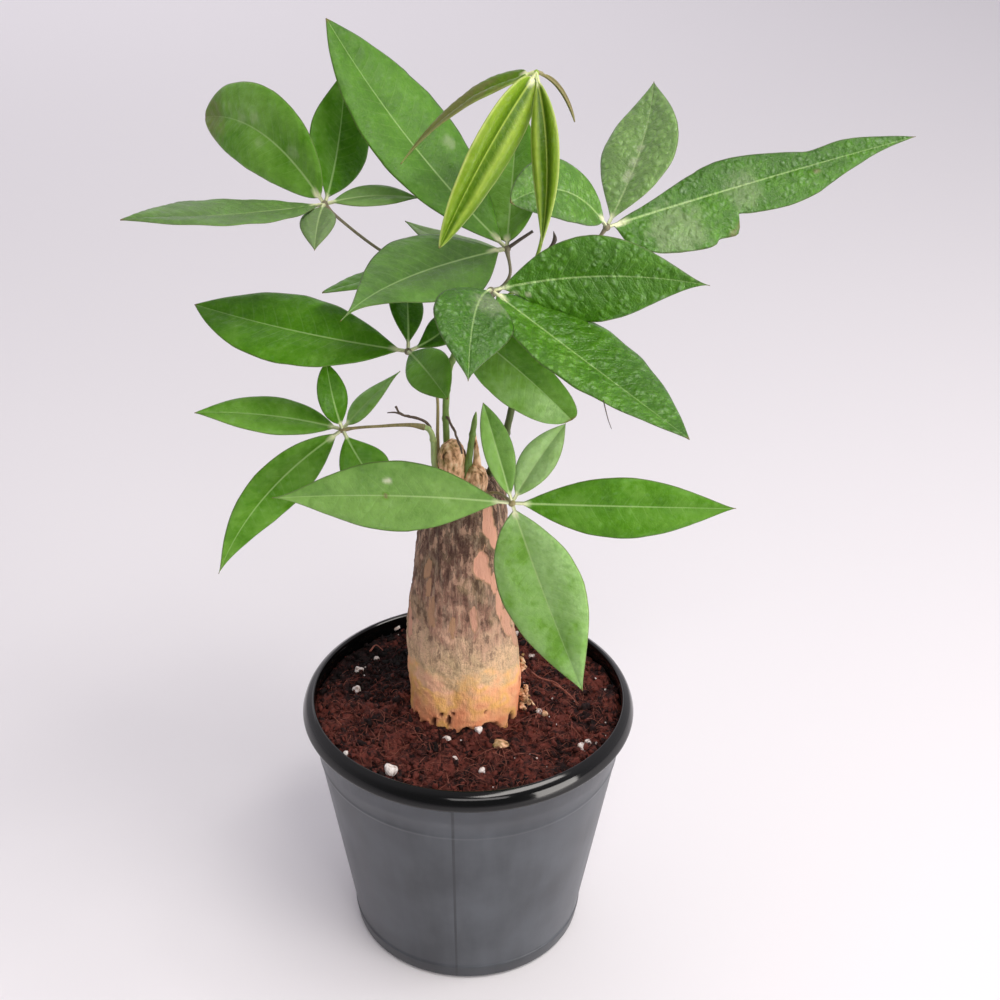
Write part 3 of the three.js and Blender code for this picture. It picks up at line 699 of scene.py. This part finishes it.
def moulded_polypropylene():
    """Injection-moulded dark grey polypropylene: satin wall with faint flow marks, one fine
    mould seam, a foot band darkened with painted shade and a polished, nearly black rolled rim, whose black
    runs a little way down the wall as painted shade under the lip."""
    made, tree, place = new_material("moulded_polypropylene", IOR=1.49, Specular_IOR_Level=0.42)
    cloud = grain(tree, place, 30, 4)
    flow = grain(tree, place, 6, 5, squash=0.08)
    height = add(tree, "SeparateXYZ", "Z", {"Vector": place})
    flat = height.node.outputs
    around = add(tree, "Math", 0, {0: flat["Y"], 1: flat["X"]}, operation="ARCTAN2")
    seam = add(tree, "Math", 0, {0: around, 1: -1.64, 2: 0.009}, operation="COMPARE")
    wall = span(tree, height, 114.8 * MM, 115.4 * MM, 1, 0)
    grey = layered(
        tree, "#3c3f44",
        (summed(tree, cloud, (flow, 0.5)), 0.55, 0.95, 0, 1, 1, "#4e5258"),
        (seam, 0, 1, 0, 1, flow, "#15171a"),
        # Painted shade: the foot band is darkened where the pot meets the floor
        (height, 7.4 * MM, 8.8 * MM, 0.4, 0, 1, "#1d1e21"),
        # The nearly black rim; its black reaches about a millimetre down the wall under the lip as painted
        # shade
        (wall, 0, 1, 1, 0, 1, "#050606"),
    )
    gloss = blend(tree, wall, span(tree, cloud, 0, 1, 0.06, 0.14), span(tree, flow, 0, 1, 0.28, 0.46))
    texture = summed(tree, 0, (grain(tree, place, 0.6, 3), wall), (flow, 0.5))
    return dress(made, grey, texture, 0.17, 0.1, gloss)


# Leaves


def outline(u, width, widest, slender):
    """Half width at u: a hump over 0 to 1 that peaks at widest, raised to the power slender."""
    hump = (u / widest) ** widest * ((1 - u) / (1 - widest)) ** (1 - widest)
    return width / 2 * hump**slender


def midline(hub, tip, arch, bend, roll):
    """A parabola from hub to tip. Gives each station's way along it in mm, its place, and the
    directions to the right of it and out of the blade's upper face."""
    length = np.linalg.norm(tip)
    chord = tip / length
    rise = unit(np.array([0, 0, 1.0]) - chord[2] * chord)
    side = np.cross(chord, rise)
    middle = hub + tip / 2 + 2 * arch * rise + 2 * bend * side
    even = np.linspace(0, 1, max(30, int(length / BLADE.station)))
    t = (even - BLADE.crowd * np.sin(2 * PI * even) / (2 * PI))[:, None]
    midrib = (1 - t) ** 2 * hub + 2 * t * (1 - t) * middle + t**2 * (hub + tip)
    forward = unit((1 - t) * (middle - hub) + t * (hub + tip - middle))
    facing = rise * np.cos(np.radians(roll)) + side * np.sin(np.radians(roll))
    right = unit(np.cross(forward, facing))
    return t * length, midrib, right, np.cross(right, forward)[:, None]


def blade(leaf, order, index):
    """A thin closed blade on a curved midrib: across it a shallow V with its margins waved and
    turned down. Side veins are grooves that sweep forward, the tissue between them swells, and a
    rounded rib stands out below."""
    row, tone = leaf.leaflets[index], np.broadcast_to(leaf.tones[index], 2)
    phase = order * 1.7 + index * 2.3
    hub, tip = np.array([leaf.hub, row[:3]], float)
    width, arch, bend, roll, widest, slender, skew, torn = [*row[3:], 0, False][:8]
    run, midrib, right, normal = midline(hub, tip, arch, bend, roll)
    length = np.linalg.norm(tip)

    step = np.linspace(-1, 1, BLADE.across)
    v = np.sign(step) * np.abs(step) ** 1.2
    u = np.clip((run - BLADE.stalk) / (length - BLADE.stalk), 0, 1)
    reach = outline(u, width, widest, slender) * (1 + np.sign(v) * skew)
    if torn:
        along, left, right_hand = smooth_path(np.array(TORN) * [length, 1, 1], 400).T
        reach = np.where(v < 0, *[np.interp(u * length, along, half) for half in (left, right_hand)])
    place = stacked(run, phase * 9, np.sign(v))
    reach = reach * (1 + 0.008 * noise(place, 9, 3) + 0.006 * noise(place, 2.5, 4))
    reach = np.maximum(reach, BLADE.least * (1 - 0.86 * smooth(u / 0.15)))
    fold = np.radians(leaf.folds[index])
    wave = np.sin(2 * PI * run / BLADE.ripple_length + phase)
    lift = (np.hypot(v, 0.04) - 0.04) * np.sin(fold) - BLADE.curl * v**4
    lift = lift + BLADE.ripple * wave * v**2 * np.sign(v) + leaf.bulge * np.sin(PI * np.abs(v)) ** 1.5

    from_rib = np.abs(v) * reach
    gap = np.clip(length / 17, 2.0, 5.5)
    uneven = 1.2 * noise(place * [1, 1, 0.5], 11, 5)
    vein = (run + uneven - 0.45 * from_rib - 0.7 * from_rib**2 / width) / gap + 0.5 * (v < 0)
    away = np.abs(vein - np.round(vein)) * gap
    open_field = smooth(from_rib / 3) * smooth((reach - from_rib) / 2.5)
    across = right[:, None] * (v * reach * np.cos(fold))[..., None]
    sheet = midrib[:, None] + across + normal * (lift * reach)[..., None]
    swell = (0.06 + 0.25 * leaf.pucker) * np.sin(PI * vein) ** 2 - 0.06 * bell(away / 0.4)
    swell = swell + 0.3 * leaf.pucker * noise(sheet, 3.4, 7) + 0.5 * noise(sheet, 13, 8)
    sheet = sheet + normal * (swell * open_field)[..., None]

    stemmed = 1 - smooth(u / 0.06)
    thin = BLADE.thickness / 2 * np.sqrt(1 - v**8)
    half = stemmed * BLADE.least * np.sqrt(1 - v**2) + (1 - stemmed) * thin
    rib = (0.6 - 0.5 * u) * bell(from_rib / 0.6) * (1 - stemmed)
    groove = 0.12 * bell(from_rib / 0.5) * (1 - stemmed)
    # The painted sheen and the pale marks are painted grey reflection and glints, with some real pale
    # spots; the brown marks are real spots
    mark = leaf.bloom[index] + 0 * reach
    for _, share, off, size, amount in [spot for spot in leaf.marks if spot[0] == index]:
        apart = np.hypot((u - share) * length, v * reach - off) / size
        mark = mark + amount * smooth(1.6 - 1.2 * apart + 0.5 * noise(sheet, 1.7, 21))
    # Side of the fold, which places the bands of painted light and shade
    fold_shade_side = v * leaf.pleats[index]
    halves = tone[0] + (tone[1] - tone[0]) * smooth(v / 0.1 + 0.5) + leaf.tip_tone * u
    faces = []
    for offset, below in ((half - groove, 0), (-half - rib, 1)):
        fields = stacked(from_rib, reach - from_rib, vein, gap, u, halves, mark, fold_shade_side, below)
        faces.append(np.concatenate([sheet + normal * offset[..., None], fields], -1))
    return np.concatenate([faces[0], faces[1][:, -2:0:-1]], axis=1)[None]


def leaf_stalk(leaf):
    """A thin round stalk, swollen where it leaves the wood and where its leaflets meet."""
    rows = 60
    path = smooth_path([*leaf.stalk, leaf.hub], rows)
    t = np.linspace(0, 1, rows)
    run = path_length(path)
    radius = STALK.foot + (STALK.hub - STALK.foot) * smooth(t * 1.5)
    radius = radius + 0.5 * bell(t * run / 4) + 0.45 * bell((1 - t) * run / 3)
    return tubes(path[None], radius, STALK.sides)


def leaves():
    """Each leaf as its blades and its stalk, which together stand for the node."""
    greens = ("#336206", "#4a7f0f", "#709f3e", "#9fc57d")
    fresh_greens = ("#3a6202", "#567e06", "#789a14", "#a4bc40")
    # Bands of painted light and shade across a young blade's folds
    fold_shade_bands = [
        (0, "#c4d174"), (0.07, "#8aa42a"), (0.24, "#688510"), (0.42, "#3c5a02"), (0.52, "#567608"),
        (0.6, "#446602"), (0.7, "#9fb646"), (0.82, "#6c8812"), (1, "#4c6a04"),
    ]
    waxes = {
        "leaf_wax": (greens, "#a3c27c", "#8fb079", "#5c6841", 0.65, 0.2, 0.35, 0.25),
        "quilted_leaf_wax": (greens, "#a3c27c", "#8fb079", "#566241", 0.65, 0.52, 0.8, 1),
        "young_leaf_wax": (fresh_greens, "#a6ba50", "#88a058", "#bccb78", 1, 0.28, 0.3, 0.2, fold_shade_bands),
    }
    waxes = {name: leaf_wax(name, *looks) for name, looks in waxes.items()}
    skin = stem_skin("leaf_stalk_skin", "#8f8458", "#767058", "#4a3c32", 278)
    fresh = stem_skin("young_stalk_skin", "#6d8a2c", "#8fae3a", "#5f7a2a", 330)
    for order, (name, values) in enumerate(LEAVES.items()):
        leaf = SimpleNamespace(**{**USUAL_LEAF, **values})
        young = name == "leaf_young"
        blades = [blade(leaf, order, index) for index in range(len(leaf.leaflets))]
        piece(name + ".blades", blades, waxes[leaf.finish], BLADE_FIELDS, [name])
        knuckle = ball(leaf.hub, STALK.knuckle * (0.65 if young else 1), 0.12, order)
        piece(name + ".stalk", [leaf_stalk(leaf), knuckle], fresh if young else skin)


# Trunk


def ellipse_patch(angle, height, middle_angle, middle_height, half_angle, half_height, edge):
    """1 inside a ragged ellipse on the unrolled bark and 0 outside it."""
    turn = (angle - np.radians(middle_angle) + PI) % (2 * PI) - PI
    apart = np.hypot(turn / np.radians(half_angle), (height - middle_height) / half_height)
    return smooth((1.15 - apart + 0.6 * edge) / 0.35)


# Where plates of bark have come off: angle and height of the middle, half angle, half height,
# and how bare the wood is
BARE_PATCHES = [
    [-50, 220, 10, 9, 1], [-44, 212, 9, 6, 1], [-64, 203, 8, 9, 1], [-58, 197, 6, 5, 1],
    [-48, 191.5, 5, 5, 0.9], [-38, 180, 8, 8, 0.85], [-28, 170, 11, 8, 0.8], [-14, 161, 12, 7, 0.75],
    [-75, 176, 4, 9, 0.85], [-140, 196, 7, 6, 0.6], [-134, 188, 6, 5, 0.6], [-127, 177, 6, 8, 0.6],
    [-99, 172, 4, 5, 0.55], [-164, 166, 6, 13, 0.85], [150, 190, 14, 18, 0.9], [70, 205, 10, 14, 1],
    [20, 196, 7, 16, 0.9], [105, 173, 9, 8, 0.8], [175, 214, 8, 8, 0.9], [45, 165, 8, 10, 0.7],
]

# Pits of the rotted lower edge: angle, height, half angle, half height
PITS = [
    [-116, 126, 2, 1.8], [-125, 121, 4, 3], [-108, 123.5, 2, 2.4], [-103, 127.5, 1.2, 1.2],
    [-147, 119.5, 5, 3], [-134, 116.5, 7, 3], [-88, 118, 6, 3], [-69, 129, 1.2, 1.2],
    [-60, 120, 9, 3], [-36, 121, 5, 4], [-24, 137, 2, 5], [-14, 128, 4, 5], [40, 121, 8, 4],
    [100, 120, 9, 4], [160, 122, 6, 3],
]


def trunk():
    """A fluted body over the ring sizes, with bark furrows from stretched noise, sunk bare patches
    with raised edges, an oval branch scar and pits at the foot."""
    rows, columns = 300, 190
    height, x, y, wide, deep = smooth_path(TRUNK_RINGS, rows).T[:, :, None]
    angle = turns(columns)
    fade = np.minimum(1, wide / 20)
    flute = 0.9 * fade * (np.sin(3 * angle + height / 35) + 0.6 * np.sin(7 * angle - height / 18))
    spot = stacked(wide * np.cos(angle), deep * np.sin(angle), height)
    upright = spot * [1, 1, 0.16]
    edge = 0.7 * noise(spot * [1, 1, 0.5], 4, 1) + 0.6 * noise(spot * [1, 1, 0.4], 1.5, 2)
    bare = [much * ellipse_patch(angle, height, *patch, edge) for *patch, much in BARE_PATCHES]
    bare = np.max(bare, axis=0)
    pit = np.max([ellipse_patch(angle, height, *patch, edge) for patch in PITS], axis=0)
    turn = (angle + np.radians(118) + PI) % (2 * PI) - PI
    scar = np.hypot(turn / 0.42, (height - 155) / 11)
    oval = bell((scar - 1) / 0.16) - 0.5 * bell(scar / 0.8)
    furrow = noise(upright, 3.2, 5) + 0.6 * noise(upright, 1.4, 6)
    corky = 0.12 + 0.88 * smooth((height - 150) / 30)
    bark = corky * (0.5 * furrow - 1.1 * smooth(furrow * 1.8 - 0.9)) + 0.25 * noise(spot, 1.6, 9)
    bark = bark + 0.6 * noise(spot, 9, 10) + 0.35 * corky * noise(spot * [1, 1, 0.6], 3.4, 12)
    lip = bare * (1 - bare) * 1.6
    relief = flute + bark * (1 - 0.65 * bare) - 0.7 * bare + lip + 0.5 * oval - 1.7 * pit
    across, along = x + (wide + relief) * np.cos(angle), y + (deep + relief) * np.sin(angle)
    rings = stacked(across, along, height, bare, pit)
    piece("trunk_bark", [rings[None]], peeling_bark(), ("bare", "pit"), ["trunk"])


def stump(start, end, foot, tip, seed):
    """A sawn branch stump: a tapering tube with a broken, rounded end, roughened by noise."""
    rows = 40
    t = np.linspace(0, 1, rows)
    path = np.linspace(start, end, rows)
    radius = foot + (tip - foot) * t
    radius = radius * np.sqrt(np.clip(1 - np.clip((t - 0.74) / 0.27, 0, 1) ** 3, 0.001, 1))
    rings = tubes(path[None], radius, 56)
    broken = smooth((t - 0.6) / 0.3)[None, :, None]
    rough = 0.5 * noise(rings, 3.5, seed) + 0.3 * noise(rings, 1.3, seed + 1)
    rough = rough + broken * (0.5 * noise(rings * [1, 1, 0.4], 1.6, seed + 2) - 0.2)
    rings = rings + unit(rings - path[None, :, None]) * rough[..., None]
    rings[..., 2] += broken * 0.9 * noise(rings, 2.2, seed + 3)
    return rings


def sliver(start, end, width, seed):
    """A thin split of dead wood, widest at its foot and ending in a point."""
    rows = 26
    radius = width / 2 * (1.02 - np.linspace(0, 1, rows)) ** 0.8
    return rough_tube(np.linspace(start, end, rows), radius, 16, 1.1, seed, 0.35, 0.3)


def cuts(wood):
    """The wood that old cuts left bare at the top of the trunk."""
    shapes = [stump(*knob, 20 + 7 * i) for i, knob in enumerate(KNOBS)]
    shapes.append(sliver([3.6, -6, 236], [2.4, -5, 257], 5, 41))
    shapes.append(sliver([-1.5, -3, 232], [-0.4, -1.5, 252], 3, 43))
    piece("branch_cuts", shapes, wood)


def root_crust(wood):
    """Pale broken skin beside the trunk's foot and a little on its side, one root strand on the
    mix, and the small lump it ends at."""
    rng = np.random.default_rng(5)
    low = np.array([25.2, -1.5, 121.6]) + rng.normal(0, 1, (56, 3)) * [1.2, 3.2, 1.9]
    high = np.array([24.3, 0, 138.5]) + rng.normal(0, 1, (9, 3)) * [0.5, 2, 1.8]
    shapes = [
        ball(middle, rng.uniform(0.5, 1.3), 0.6, 200 + i, 8, 11) for i, middle in enumerate([*low, *high])
    ]
    route = [[22, 0, 121], [25.5, 0, 120.3], [28, 0, 119.8], [29.3, -2.5, 119.6], [31, -5, 118.8]]
    shapes.append(tubes(smooth_path(route, 30)[None], np.linspace(0.7, 0.4, 30), 10))
    shapes.append(ball([34.6, -9.2, 119.4], 1.5, 0.4, 240, 10, 14))
    piece("root_crust", shapes, wood)


def shoots():
    """Living shoots: thin tubes with a swollen ring at each old leaf scar."""
    green = stem_skin("green_shoot_skin", "#5f6a34", "#6f8c42", "#3f4626", 240)
    own_skins = {
        "shoot_left": stem_skin("pale_shoot_skin", "#84925c", "#9db272", "#7d6a5c", 240),
        "shoot_right": stem_skin("old_shoot_skin", "#47502a", "#4d5a2c", "#2f2f1c", 250),
    }
    rows = 110
    for seed, (name, (foot, tip, route)) in enumerate(SHOOTS.items()):
        path = smooth_path(route, rows)
        run = np.linspace(0, 1, rows) * path_length(path)
        node = np.abs((run / 13 + 0.37 * seed) % 1 - 0.5)
        radius = foot + (tip - foot) * run / run[-1] + 0.3 * bell(node / 0.07)
        if name == "shoot_cut":
            radius = radius * np.sqrt(np.clip((run[-1] - run) / 5, 0.02, 1))
        rings = rough_tube(path, radius, 18, 1.3, seed, 0.12, 0.4)
        piece(name + ".skin", [rings], own_skins.get(name, green), replaced=[name])


def twigs():
    """Dried leaf stalks, shrunk and kinked, one with a small fork at its end."""
    skin = stem_skin("dry_stalk_skin", "#5b4a3c", "#5a4a3e", "#33261f", 250)
    rows = 60
    for seed, (name, (foot, tip, route)) in enumerate(TWIGS.items()):
        path = smooth_path(route, rows)
        rings = tubes(path[None], np.linspace(foot, tip, rows) * 0.85, 12)
        shapes = [rings + 0.16 * noise(rings, 1.4, seed + 5)[..., None]]
        if name == "twig_left":
            parting = path[48]
            fork = smooth_path(parting + [[0, 0, 0], [-2.6, 0, 0.6], [-5.4, 0.4, 0.2]], 20)
            shapes.append(tubes(fork[None], np.linspace(0.45, 0.22, 20), 10))
        piece(name + ".dry", shapes, skin, replaced=[name])


def bud_and_hair():
    """A dark stub of stalk at the crown leaf's hub, a pointed bud on its own thin stalk, and a hair
    that hangs from the margin of a leaflet. Each row is x, y, z and radius."""
    skin = stem_skin("bud_skin", "#3c342c", "#463c34", "#241c1a", 240)
    stub = [[14.8, 5, 333.2, 0.8], [19, 6, 336, 0.7], [24, 7, 339.2, 0.6]]
    bud = [
        [9, 3, 315, 0.5], [22, 6, 324, 0.5], [31, 8, 332.5, 0.6], [32.6, 8, 335.5, 0.9], [32, 8, 339, 0.1],
    ]
    hair = [
        [48, -82.5, 309.4, 0.2], [48.6, -82.5, 307, 0.2], [50.2, -82.5, 301.4, 0.15],
        [51.4, -82.5, 298.3, 0.1],
    ]
    tables = [smooth_path(route, 40)[None] for route in (stub, bud, hair)]
    piece("bud_and_hair", [tubes(table[..., :3], table[..., 3], 10) for table in tables], skin)


# Soil


def soil_height(x, y):
    """Clods as crossed sine waves, a low ring-shaped mound round the trunk, and a hollow behind it."""
    clods = np.sin(x / 5.3 + 1.1) * np.sin(y / 4.7) + 0.6 * np.sin(x / 2.9 - y / 3.7)
    mound = SOIL.hump * bell((np.hypot(x, y) - 24) / 14)
    hollow = SOIL.hollow * bell((x + 38) / 14, (y - 40) / 14)
    return SOIL.top + SOIL.lumps * clods + mound - hollow


def painted_soil_shade(x, y):
    """Painted shade: how much darker the mix is painted behind the trunk on its left, where shadow falls:
    one wide bump.
    """
    return 0.9 * bell((x + 38) / 24, (y - 34) / 26)


def soil_body():
    """The filling: a turned shape whose top is the clods with finer noise on them."""
    slope = (POT.neck_radius - POT.base_radius) / (POT.height - POT.lip_height - POT.floor)

    def wall(z):
        return POT.base_radius - POT.wall - 0.5 + slope * (z - POT.floor)

    edge = wall(SOIL.top)
    profile = [(POT.base_radius - 6, 2.6), (wall(4.5) - 0.5, 4.5), (wall(60), 60), (wall(113), 113)]
    rings = lathe([*profile, *[(radius, SOIL.top) for radius in np.linspace(edge, 15, 120)]], 330)
    top = rings[:, len(profile):]
    x, y = top[..., 0], top[..., 1]
    lumps = 1.1 * noise(top, 4.2, 51) + 1.0 * noise(top, 1.9, 52) + 0.7 * noise(top, 0.9, 53)
    top[..., 2] = soil_height(x, y) + lumps - 1.0 * smooth((np.hypot(x, y) - edge + 2.5) / 2.5)
    x, y, z = np.moveaxis(rings, -1, 0)
    # The tone takes painted shade behind the trunk on its left
    tone = 0.4 + 0.5 * noise(rings, 2.2, 55) + 0.4 * noise(rings, 8, 56) - painted_soil_shade(x, y)
    return stacked(x, y, z, tone)


def scattered(rng, count, inner, outer):
    """Random points, even over the ring between two radii round the trunk."""
    angle = rng.uniform(0, 2 * PI, count)
    radius = np.sqrt(rng.uniform(inner**2, outer**2, count))
    return stacked(radius * np.cos(angle), radius * np.sin(angle))


def crumbs(rng, count, smallest, largest):
    """Small lumps: three rings of five points, each at a random reach, on the mix's surface."""
    spot = scattered(rng, count, SOIL.inner, SOIL.outer)
    size = rng.uniform(0, 1, count) ** 3 * (largest - smallest) + smallest
    way = globe(np.radians([38, 90, 142]), 5)
    reach = rng.uniform(0.5, 1.3, (count, 3, 5, 1)) * rng.uniform(0.35, 1.5, (count, 1, 1, 3))
    x, y, z = np.moveaxis(way * reach * size[:, None, None, None], -1, 0)
    spin = rng.uniform(0, 2 * PI, (count, 1, 1))
    turned = stacked(x * np.cos(spin) - y * np.sin(spin), x * np.sin(spin) + y * np.cos(spin), z)
    ground = soil_height(*spot.T) + 0.35 * size
    lumps = turned + np.column_stack([spot, ground])[:, None, None]
    # The tone takes painted shade behind the trunk on its left
    tone = rng.uniform(-0.1, 0.9, count) + 0.4 * noise(lumps[:, 1, 0], 8, 56) - painted_soil_shade(*spot.T)
    return stacked(*np.moveaxis(lumps, -1, 0), tone[:, None, None])


def fibres(rng, count, shortest, longest, thick):
    """Curved hairs of coir: each bends at its own rate and lies over the clods in a low arch."""
    steps = 9
    spot = scattered(rng, count, SOIL.inner + 1.5, SOIL.outer - 4.3)
    length = rng.uniform(shortest, longest, (count, 1))
    bend = rng.normal(0, 0.7, (count, 1))
    t = np.linspace(0, 1, steps)
    heading = rng.uniform(0, 2 * PI, (count, 1)) + bend * t
    x = spot[:, :1] + np.cumsum(np.cos(heading), 1) * length / steps
    y = spot[:, 1:] + np.cumsum(np.sin(heading), 1) * length / steps
    far = np.hypot(x, y)
    keep = (far.max(1) < SOIL.outer + 0.2) & (far.min(1) > SOIL.inner - 0.5)
    z = soil_height(x, y) + 0.6 + rng.uniform(0, 1.6, (count, 1)) * np.sin(PI * t)
    radius = thick * rng.uniform(0.5, 1.2, (count, 1)) * (1.05 - t) ** 0.5
    # The tone takes painted shade behind the trunk on its left
    tone = rng.uniform(0, 1, (count, 1)) - painted_soil_shade(x, y)
    return tubes(stacked(x, y, z)[keep], radius[keep], 4, tone[keep])


# Perlite grains that show from above: x, y and radius
GRAINS = [
    [-37, 60, 2.2], [-45, 39, 1.8], [-52, 22, 2.4], [-52, 10, 2.4], [-52, -39, 2.0], [-32, -51, 3.4],
    [-9, -29, 2.2], [5, -25, 2.2], [-5, -41, 2.0], [7, -49, 2.0], [50, -33, 2.4], [53, -27, 1.8],
    [32, -7, 2.0], [29, 37, 1.8], [2, 52, 2.4], [-20, 50, 1.8], [47, 22, 2.2], [22, 56, 1.8],
]

# Thicker strands of coir that show: radius at the thick end and route
STRANDS = [
    (0.55, [[29, 22, 119.5], [33, 16, 120.5], [40, 13, 120.3], [45, 6, 118.8]]),
    (0.5, [[38, 14, 119.5], [44, 7, 120.2], [50, -1, 118.8]]),
    (0.5, [[-48, 37, 119.5], [-45.4, 40.8, 120.6], [-41.9, 38.3, 119.5]]),
]


def on_mix(x, y, radius, rise, *looks):
    """A lumpy grain whose middle is that far above the mix."""
    return ball([x, y, soil_height(x, y) + rise], radius, *looks)


def soil(wood):
    """The mix with its crumbs, fibres, perlite and one chip of bark."""
    rng = np.random.default_rng(11)
    coir = moist_coir("moist_coir", "#030202", "#200c0c", "#6e352c", 1.5)
    fibre = moist_coir("coir_fibre", "#180909", "#421b1b", "#945a4c", 3)
    piece("coir_mix", [soil_body()], coir, ("tone",), ["soil"])
    piece("coir_crumbs", [crumbs(rng, SOIL.crumbs, 0.35, 1.9)], coir, ("tone",))
    hairs = [fibres(rng, SOIL.hairs, 3, 9, 0.15), fibres(rng, SOIL.long_hairs, 12, 26, 0.24)]
    piece("coir_fibres", hairs, fibre, ("tone",))
    grains = [on_mix(x, y, 0.8 * r, 0.35 * r, 0.45, 60 + i, 12, 16) for i, (x, y, r) in enumerate(GRAINS)]
    for i, (x, y) in enumerate(scattered(rng, SOIL.small_grains, 27, 67)):
        grains.append(on_mix(x, y, rng.uniform(0.25, 0.6), 0.5, 0.4, 90 + i, 6, 8))
    piece("perlite_grains", grains, perlite())
    strands = [
        tubes(smooth_path(route, 20)[None], np.linspace(thick, 0.2, 20), 8, 0.8) for thick, route in STRANDS
    ]
    piece("coir_strands", strands, fibre, ("tone",))
    chip = on_mix(14.5, -32.6, 3.0, 0.9, 0.5, 33, 16, 22)
    middle = chip.mean((0, 1, 2))
    piece("bark_chip", [middle + (chip - middle) * [1.1, 0.9, 0.5]], wood)


# Pot


def pot():
    """A turned shell with a rolled rim, a raised ring line, a foot band and drain holes."""
    height, rim, inner = POT.height, POT.rim_radius, POT.rim_inner
    base, ring = POT.base_radius, POT.ring_height
    under_lip = height - POT.lip_height
    slope = (POT.neck_radius - base) / under_lip

    def wall(z, out=-POT.foot_step):
        return base + slope * z + out, z

    outside = [
        (8, 0), (base - 2, 0), (wall(1.2, 0)[0], 1.4), wall(POT.foot_height, 0),
        (wall(POT.foot_height)[0], POT.foot_height + 0.8), wall(ring - 1.2),
        wall(ring, POT.ring_proud - POT.foot_step), wall(ring + 1.2), wall(under_lip),
    ]
    lip = [
        wall(under_lip), (rim - 1.2, under_lip - 0.2), (rim, under_lip + 1.4), (rim - 0.3, under_lip + 3),
        (rim - 1.7, height - 2), (rim - 3.9, height - 0.5), (inner + 0.6, height), (inner, height - 0.6),
        (inner - 0.4, height - 2.2),
    ]
    inside = [
        (inner - 0.4, height - 2.2), (POT.neck_radius - POT.wall, under_lip - 1),
        (base - POT.wall, POT.floor + 1.5), (base - POT.wall - 2, POT.floor), (8, POT.floor),
    ]
    profile = np.vstack([rounded(outside, 0.7)[:-1], rounded(lip, 2.2)[:-1], rounded(inside, 1.0)])
    plastic = moulded_polypropylene()
    shell = piece("nursery_pot", [lathe(profile, 168)], plastic, replaced=["pot"])
    post = lathe([(POT.drain_radius, -3), (POT.drain_radius, 6)], 28)
    around = turns(POT.drains) + PI / POT.drains
    middles = POT.drain_circle * stacked(np.cos(around), np.sin(around), 0)
    cutter = piece("drains", [post + middle for middle in middles], plastic)
    cut = shell.modifiers.new("drains", "BOOLEAN")
    cut.operation, cut.solver, cut.object = "DIFFERENCE", "EXACT", cutter
    with bpy.context.temp_override(object=shell, active_object=shell, selected_objects=[shell]):
        bpy.ops.object.modifier_apply(modifier=cut.name)
    bpy.data.objects.remove(cutter)


# Stage


def camera():
    """The photograph's view: a level camera turned down by the pitch, then rolled a little."""
    pitch, roll = np.radians([CAMERA.pitch, CAMERA.roll])
    data = bpy.data.cameras.new("camera")
    data.lens = CAMERA.lens
    data.sensor_width = CAMERA.sensor
    eye = put_in("camera", data)
    turned = Matrix.Rotation(PI / 2 - pitch, 4, "X") @ Matrix.Rotation(roll, 4, "Z")
    eye.matrix_world = Matrix.Translation(Vector(CAMERA.place) * MM) @ turned
    bpy.context.scene.camera = eye


# Area lights: place, size and aim in metres, power in watts and colour
LIGHTS = {
    "key": ((0.56, -0.46, 1.6), (1.3, 0.36), (0, 0, 0.2), 14.8, "#fffaf5"),
    "right": ((1.45, -0.95, 0.35), (0.9, 0.8), (0, 0, 0.1), 20, "#fffaf5"),
    "front": ((0.2, -1.4, 1.1), (1.0, 0.5), (0, 0, 0.15), 6.5, "#fdf8f6"),
    "far": ((-0.9, 2.5, 1.5), (2.6, 1.6), (-0.9, 2.5, 0), 12, "#fdf8fc"),
}


def studio():
    """Plain matt white floor, one wide soft key above and to the right, light from the right, the
    front and over the far floor, and a pale surround that is darker behind the camera."""
    scene = bpy.context.scene
    scene.view_settings.view_transform = "Standard"
    half = 6
    corners = [(-half, -half, 0), (half, -half, 0), (half, half, 0), (-half, half, 0)]
    mesh = bpy.data.meshes.new("floor")
    mesh.from_pydata(corners, [], [(0, 1, 2, 3)])
    mesh.materials.append(new_material("studio_floor", Roughness=0.7, Base_Color=linear("#edebee"))[0])
    put_in("floor", mesh)
    for name, (place, size, aim, power, colour) in LIGHTS.items():
        data = bpy.data.lights.new(name, "AREA")
        data.shape = "RECTANGLE"
        data.size, data.size_y = size
        data.energy = power
        data.color = linear(colour)[:3]
        lamp = put_in(name, data)
        lamp.location = place
        lamp.rotation_euler = (Vector(aim) - Vector(place)).to_track_quat("-Z", "Y").to_euler()
    world = bpy.data.worlds.new("surround")
    world.use_nodes = True
    tree = world.node_tree
    way = add(tree, "TexCoord", "Generated")
    depth = add(tree, "SeparateXYZ", "Y", {"Vector": way})
    limits = {"Value": depth, "From Min": -0.9, "From Max": 0.5, "To Min": 0.2, "To Max": 0.82}
    room = add(tree, "MapRange", "Result", limits, interpolation_type="SMOOTHSTEP")
    surround = tree.nodes["Background"]
    surround.inputs["Color"].default_value = linear("#efeaf1")
    tree.links.new(room, surround.inputs["Strength"])
    scene.world = world


camera()
studio()
pot()
wood = sawn_wood()
soil(wood)
trunk()
cuts(wood)
root_crust(wood)
shoots()
twigs()
bud_and_hair()
leaves()
